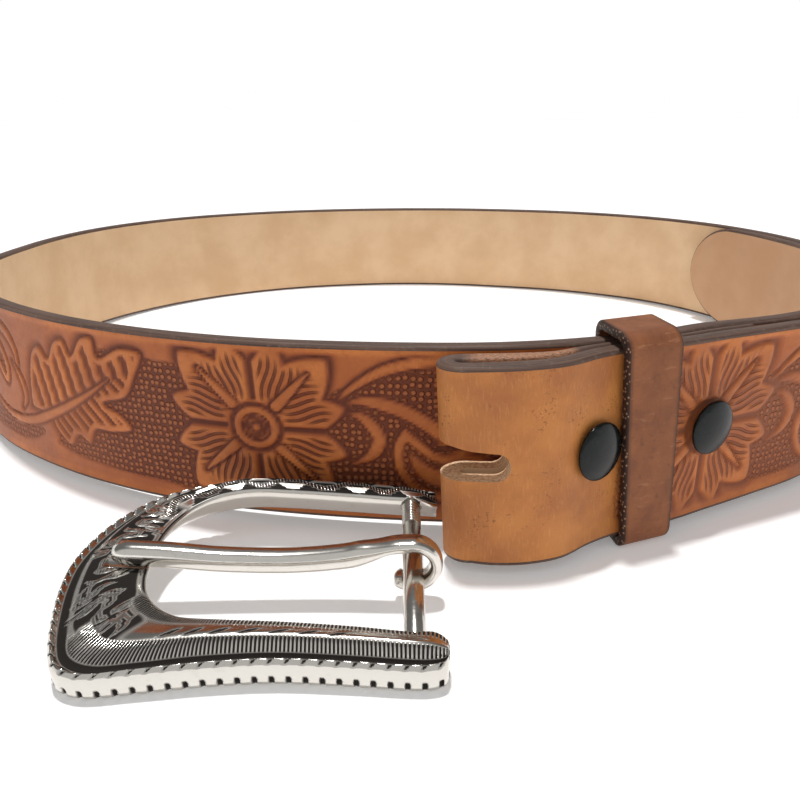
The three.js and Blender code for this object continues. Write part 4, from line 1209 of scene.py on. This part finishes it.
def frame_rings():
    """Rings along the frame from its near right end to its far one, with its rope, dentils and engraving."""
    rows = [(k, *row) for k, row in enumerate(FRAME)]

    def line(column, place, length, half):
        return np.stack([smooth(rows, column, place) * length,
                         smooth(rows, column + 1, place) * half], axis=-1)

    place = np.linspace(0, len(FRAME) - 1, 4000)
    run = lengths(line(1, place, FRAME_LENGTH, FRAME_HALF))
    steps = int(run[-1] / FRAME_STEP)
    place = np.interp(np.linspace(0, run[-1], steps + 1), run, place)
    outer = line(1, place, FRAME_LENGTH, FRAME_HALF)
    inner = line(3, place, WINDOW_LENGTH, BAR_CLEAR / 2)
    width = np.linalg.norm(inner - outer, axis=1)
    inwards = (inner - outer) / width[:, None]
    inset, z, knot = frame_section(width, smooth(rows, 5, place))
    s = np.linspace(0, run[-1], steps + 1)[:, None]

    rope = ease(1 - np.abs(knot - ROPE_KNOT) / ROPE_REACH)
    phase = s / ROPE_PITCH + (knot - ROPE_KNOT) * ROPE_SLANT
    bead = ease(np.abs(np.sin(phase * math.pi)) / 0.55)
    channel = np.exp(-((knot - CHANNEL_KNOT) / CHANNEL_REACH) ** 2)
    z = z - rope * ROPE_DEPTH * (1 - bead) + rope * ROPE_RISE - CHANNEL_DEPTH * channel
    notch = ease((np.abs((s / ROPE_PITCH) % 1 - 0.5) - 0.3) / 0.08)
    notch = notch * band(z, 0.3, 0.3, 2.3, 0.35) * (knot < 3)
    inset = inset + DENTIL_DEPTH * notch
    across = (knot - 5.2) / 3.9
    cuts = engraving(s[:, 0], across)
    on_dome = (knot > DOME_FROM) & (knot < DOME_TO)
    z = z - CUT_HEIGHT * ease(cuts / 0.4) * on_dome * np.where(s < SHOULDER_FROM, 1, -0.6)

    shoulder = band(s, SHOULDER_FROM, 5, SHOULDER_TO, 8)
    cut_here = ease(cuts / 0.3)
    vein = ease((cuts - 0.48) / 0.12) * 0.8
    ground = (1 - shoulder) * cut_here + shoulder * np.maximum(0.9 * (1 - cut_here), vein)
    near_band = ease((60 - s) / 8) * ease((0.42 - across) / 0.08) * 0.75
    swing = np.sin(s * 2 * math.pi / BRAID_PITCH)
    mirrored = BRAID_MIDDLE - BRAID_WAVE * swing
    almond = ease((0.11 * np.abs(swing) - np.abs(across - mirrored)) / 0.03)
    far_band = ease((s - 104) / 8) * ease((0.95 - across) / 0.04) * (1 - almond) * 0.85
    ground = np.maximum(np.maximum(ground, near_band), far_band)
    dark = np.clip(rope * (1 - bead) * 1.3 + channel + notch * 0.9 + ground * on_dome, 0, 1)
    plan = outer[:, None, :] + inwards[:, None, :] * inset[..., None]
    rings = np.concatenate([plan, z[..., None]], axis=-1)
    return rings, {"dark": dark, "hatch": hatch_bands(s, across) * on_dome}


def engraving(run, across):
    """How deep points of the dome lie in its engraved leaf and scroll cuts, along it and across it."""
    x = np.repeat(run[:, None], across.shape[1], axis=1)
    y = across * DOME_WIDTH
    cuts = np.full(x.shape, -1.0)
    for k in range(LEAF_CUTS):
        along = LEAF_CUT_PITCH * k
        path = ((LEAF_CUT_FIRST + along, 5.6), (LEAF_CUT_FIRST + 1.6 + along, 4.4),
                (LEAF_CUT_FIRST + 4 + along, 3.2))
        cuts = np.maximum(cuts, inside_stroke(x, y, path, (0.3, 1.35, 0.2)))
    for middle, level, size, spin in SCROLLS:
        for k in range(SCROLL_CUTS):
            turn = (k * 45 + spin) * DEGREE
            reach = size * (1.25 if k % 2 else 0.9)
            path = [(middle + reach * r * math.cos(turn + bend),
                     level + reach * r * 0.62 * math.sin(turn + bend)) for r, bend in SCROLL_PATH]
            cuts = np.maximum(cuts, inside_stroke(x, y, path, (0.7, 1.6, 1.45, 0.25)))
    for edge_line in (0.8, DOME_WIDTH - 0.8):
        rim = 0.34 - np.abs(y - edge_line)
        cuts = np.where((x > 56) & (x < 108), np.maximum(cuts, rim), cuts)
    return cuts


def hatch_bands(s, across):
    """Bands filled with fine wriggle cuts: two along the near arm, a wavy braid along the far one."""
    near = band(across, 0.02, 0.04, 0.38, 0.06) + band(across, 0.76, 0.05, 1, 0.04)
    wave = BRAID_MIDDLE + BRAID_WAVE * np.sin(s * 2 * math.pi / BRAID_PITCH)
    braid = ease((0.1 - np.abs(across - wave)) / 0.03)
    return np.clip(ease((66 - s) / 6) * near + ease((s - 98) / 8) * braid, 0, 1)


def antique_nickel():
    """Polished nickel, blackened in its cuts, with fine wriggle hatching."""
    s = Shader("antique_nickel")
    dark, hatch = s.attribute("dark"), s.attribute("hatch")
    run = s.node("ShaderNodeSeparateXYZ", None, [s.uv(FLAT_MM)])
    teeth = (run * (2 * math.pi / HATCH_PITCH)).sine()
    age = s.noise(s.place(OBJECT_MM), 0.35, detail=5, roughness=0.65)
    scratch = s.noise(s.place((300, 2600, 2600)), 1, detail=4)
    black = (dark * (1 - hatch)).most(hatch * teeth.step(-0.5, 0.1) * 0.95).step(0.1, 0.72)
    colour = s.tint((0.66, 0.63, 0.58),
                    (age.step(0.55, 0.8) * 0.3, (0.36, 0.32, 0.28)),
                    (black, (0.022, 0.019, 0.017)))
    return s.finish(Base_Color=colour, Metallic=1 - black * 0.9, Specular_IOR_Level=0.05,
                    Roughness=0.13 + black * 0.35 + scratch * 0.08,
                    Normal=s.bump(hatch * teeth * 0.5 + scratch * 0.03 + age * 0.05, 0.0002, 0.7))


def bright_nickel():
    """Polished nickel, lightly tarnished and scratched."""
    s = Shader("bright_nickel")
    age = s.noise(s.place(OBJECT_MM), 0.5, detail=5, roughness=0.65)
    scratch = s.noise(s.place((250, 2200, 2200)), 1, detail=4)
    colour = s.tint((0.72, 0.69, 0.64), (age.step(0.5, 0.8) * 0.4, (0.42, 0.38, 0.33)))
    return s.finish(Base_Color=colour, Metallic=1, Roughness=0.1 + scratch * 0.12,
                    Normal=s.bump(scratch * 0.4 + age * 0.3, 0.00006, 0.5))


def socket_cutter():
    """The bar's sockets in the two arms."""
    radius, reach = BAR_DIAMETER / 2 + SOCKET_PLAY, BAR_CLEAR / 2 + SOCKET_DEPTH
    return place_mesh(plug("socket", radius, reach, 40), LAID_BAR)


def prong_line():
    """Points of the prong's centre line, from its tip to the bar and round it, and where the shank ends."""
    reach = WINDOW_LENGTH + PRONG_OVERLAP
    mean = BAR_DIAMETER / 2 + PRONG_CLEARANCE + EYE_RISE + PRONG_LOOP_WALL / 2
    eye = BAR_HEIGHT + EYE_RISE
    points = [(-along * reach, BAR_HEIGHT + above * (mean + EYE_RISE)) for along, above in reversed(PRONG)]
    points += [(mean * math.cos(a * DEGREE), eye + mean * math.sin(a * DEGREE)) for a in EYE_TURNS]
    line = through(points, PRONG_STEPS)
    return line, lengths(line), (len(PRONG) - 1) * PRONG_STEPS


def prong_rings(extra=0.0, whole=True):
    """Rings along the whole prong, or round the room that its tip's half needs in the frame."""
    line, run, shank = prong_line()
    tangent = np.gradient(line, axis=0)
    tangent /= np.linalg.norm(tangent, axis=1, keepdims=True)
    up = np.stack([-tangent[:, 1], tangent[:, 0]], axis=-1)
    around = np.linspace(0, 2 * math.pi, PRONG_SIDES + 1)[:-1]
    rings = []
    for k in range(len(line) if whole else shank // 2):
        thinned = ease((k - shank + THINNING_POINTS) / THINNING_POINTS)
        drawn = math.sqrt(min(1, TIP_SHARE + run[k] / TIP_ROUND)) if whole else 1
        end = math.sqrt(max(0.03, min(1, (run[-1] - run[k]) / LOOP_END_ROUND))) if whole else 1
        wide = (PRONG_DIAMETER / 2 * drawn + extra) * end
        thick = ((PRONG_DIAMETER * (1 - thinned) + PRONG_LOOP_WALL * thinned) / 2 * drawn + extra) * end
        ring = []
        for a in around:
            c, n = math.cos(a), math.sin(a)
            c, n = (math.copysign(abs(v) ** SQUARENESS, v) for v in (c, n))
            lifted = thick * n + (0 if whole else max(0, n) * PRONG_DIAMETER)
            ring.append((line[k, 0] + up[k, 0] * lifted, wide * c, line[k, 1] + up[k, 1] * lifted))
        rings.append(ring)
    if not whole:
        rings.insert(0, [(x - NOTCH_BEYOND_TIP, y, z) for x, y, z in rings[0]])
    return np.array(rings)


def bar_profile():
    """Half section of the bar: plain, with a ribbed sleeve by the far arm."""
    radius, half = BAR_DIAMETER / 2, BAR_CLEAR / 2 + BAR_END
    rows = [(0, -half), (radius - BAR_BEVEL, -half), (radius, -half + BAR_BEVEL)]
    for k in range(SLEEVE_RIBS):
        start = -half + SLEEVE_FROM + k * SLEEVE_PITCH
        rows += [(radius, start), (radius - SLEEVE_CUT, start + 0.12), (radius - SLEEVE_CUT, start + 0.3),
                 (radius, start + 0.42)]
    return rows + [(radius, half - BAR_BEVEL), (radius - BAR_BEVEL, half), (0, half)]


frame_points, frame_facts = frame_rings()
buckle = skin("buckle_frame_nickel", frame_points)
record_facts(buckle, frame_points, frame_facts)
buckle.data.materials.append(antique_nickel())
cut_away(buckle, [socket_cutter(), skin("notch", prong_rings(PRONG_CLEARANCE, False))])
place_mesh(buckle, BUCKLE_PLACE)
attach(buckle, "root")
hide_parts("buckle_frame")

polished = bright_nickel()
bar = place_mesh(turned("buckle_bar_nickel", bar_profile(), 40), BUCKLE_PLACE @ LAID_BAR)
bar.data.materials.append(polished)
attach(bar, "root")
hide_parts("buckle_bar")

prong = place_mesh(skin("buckle_prong_nickel", prong_rings()), BUCKLE_PLACE)
prong.data.materials.append(polished)
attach(prong, "prong")
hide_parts("buckle_prong")


# Floor, light and camera.

SKY_DARK = 0.16
SKY_FRONT = 0.62
# How far up, and how far to the front, a direction points where one light gives way to the next.
ABOVE_HORIZON = (0.17, 0.3)
TO_FRONT = (0.1, 0.5)
SUN_FROM = (-0.05, 0.1, 1)
SUN_STRENGTH = 2.5
SUN_ANGLE = 5
FLOOR_HALF = 60
SENSOR_WIDTH = 36


def make_floor():
    bm = bmesh.new()
    bmesh.ops.create_grid(bm, x_segments=1, y_segments=1, size=FLOOR_HALF)
    floor = make_piece("floor", bm, False)
    white = Shader("floor_white").finish(
        Base_Color=(0.93, 0.93, 0.93), Roughness=0.8, Specular_IOR_Level=0.1,
        Emission_Color=(1, 1, 1), Emission_Strength=0.2)
    floor.data.materials.append(white)


def make_sun():
    light = bpy.data.lights.new("sun", "SUN")
    light.energy = SUN_STRENGTH
    light.angle = SUN_ANGLE * DEGREE
    sun = bpy.data.objects.new("sun", light)
    bpy.context.scene.collection.objects.link(sun)
    sun.matrix_world = Vector(SUN_FROM).to_track_quat("Z", "Y").to_matrix().to_4x4()


def make_world():
    """A white studio: pale at the horizon, dark above it at the back, brighter at the front."""
    world = bpy.data.worlds.new("studio")
    world.use_nodes = True
    tree = world.node_tree
    way = tree.nodes.new("ShaderNodeTexCoord").outputs["Generated"]

    def towards(axis, limits, first, second):
        """Mixes two lights by how near a direction is to an axis."""
        dot = tree.nodes.new("ShaderNodeVectorMath")
        dot.operation = "DOT_PRODUCT"
        dot.inputs[1].default_value = Vector(axis).normalized()
        tree.links.new(way, dot.inputs[0])
        step = tree.nodes.new("ShaderNodeMapRange")
        step.interpolation_type = "SMOOTHSTEP"
        step.inputs["From Min"].default_value, step.inputs["From Max"].default_value = limits
        for socket, light in ((step.inputs["To Min"], first), (step.inputs["To Max"], second)):
            if isinstance(light, float):
                socket.default_value = light
            else:
                tree.links.new(light, socket)
        tree.links.new(dot.outputs["Value"], step.inputs["Value"])
        return step.outputs[0]

    sky = towards((0, 0, 1), ABOVE_HORIZON, 1.0, SKY_DARK)
    sky = towards((0, -1, 0), TO_FRONT, sky, SKY_FRONT)
    tree.links.new(sky, tree.nodes["Background"].inputs["Strength"])
    tree.nodes["Background"].inputs["Color"].default_value = (1, 1, 1, 1)
    bpy.context.scene.world = world


def make_camera():
    lens = bpy.data.cameras.new("camera")
    lens.sensor_width = SENSOR_WIDTH
    lens.lens = FOCAL_LENGTH * SENSOR_WIDTH
    lens.clip_start = 0.01
    lens.clip_end = 300
    camera = bpy.data.objects.new("camera", lens)
    bpy.context.scene.collection.objects.link(camera)
    camera.matrix_world = (Matrix.Translation(Vector(CAMERA_PLACE) * MM)
                           @ Matrix.Rotation((90 - CAMERA_PITCH) * DEGREE, 4, "X")
                           @ Matrix.Rotation(CAMERA_ROLL * DEGREE, 4, "Z"))
    bpy.context.scene.camera = camera


make_floor()
make_camera()
make_sun()
make_world()
bpy.context.scene.view_settings.view_transform = "Standard"
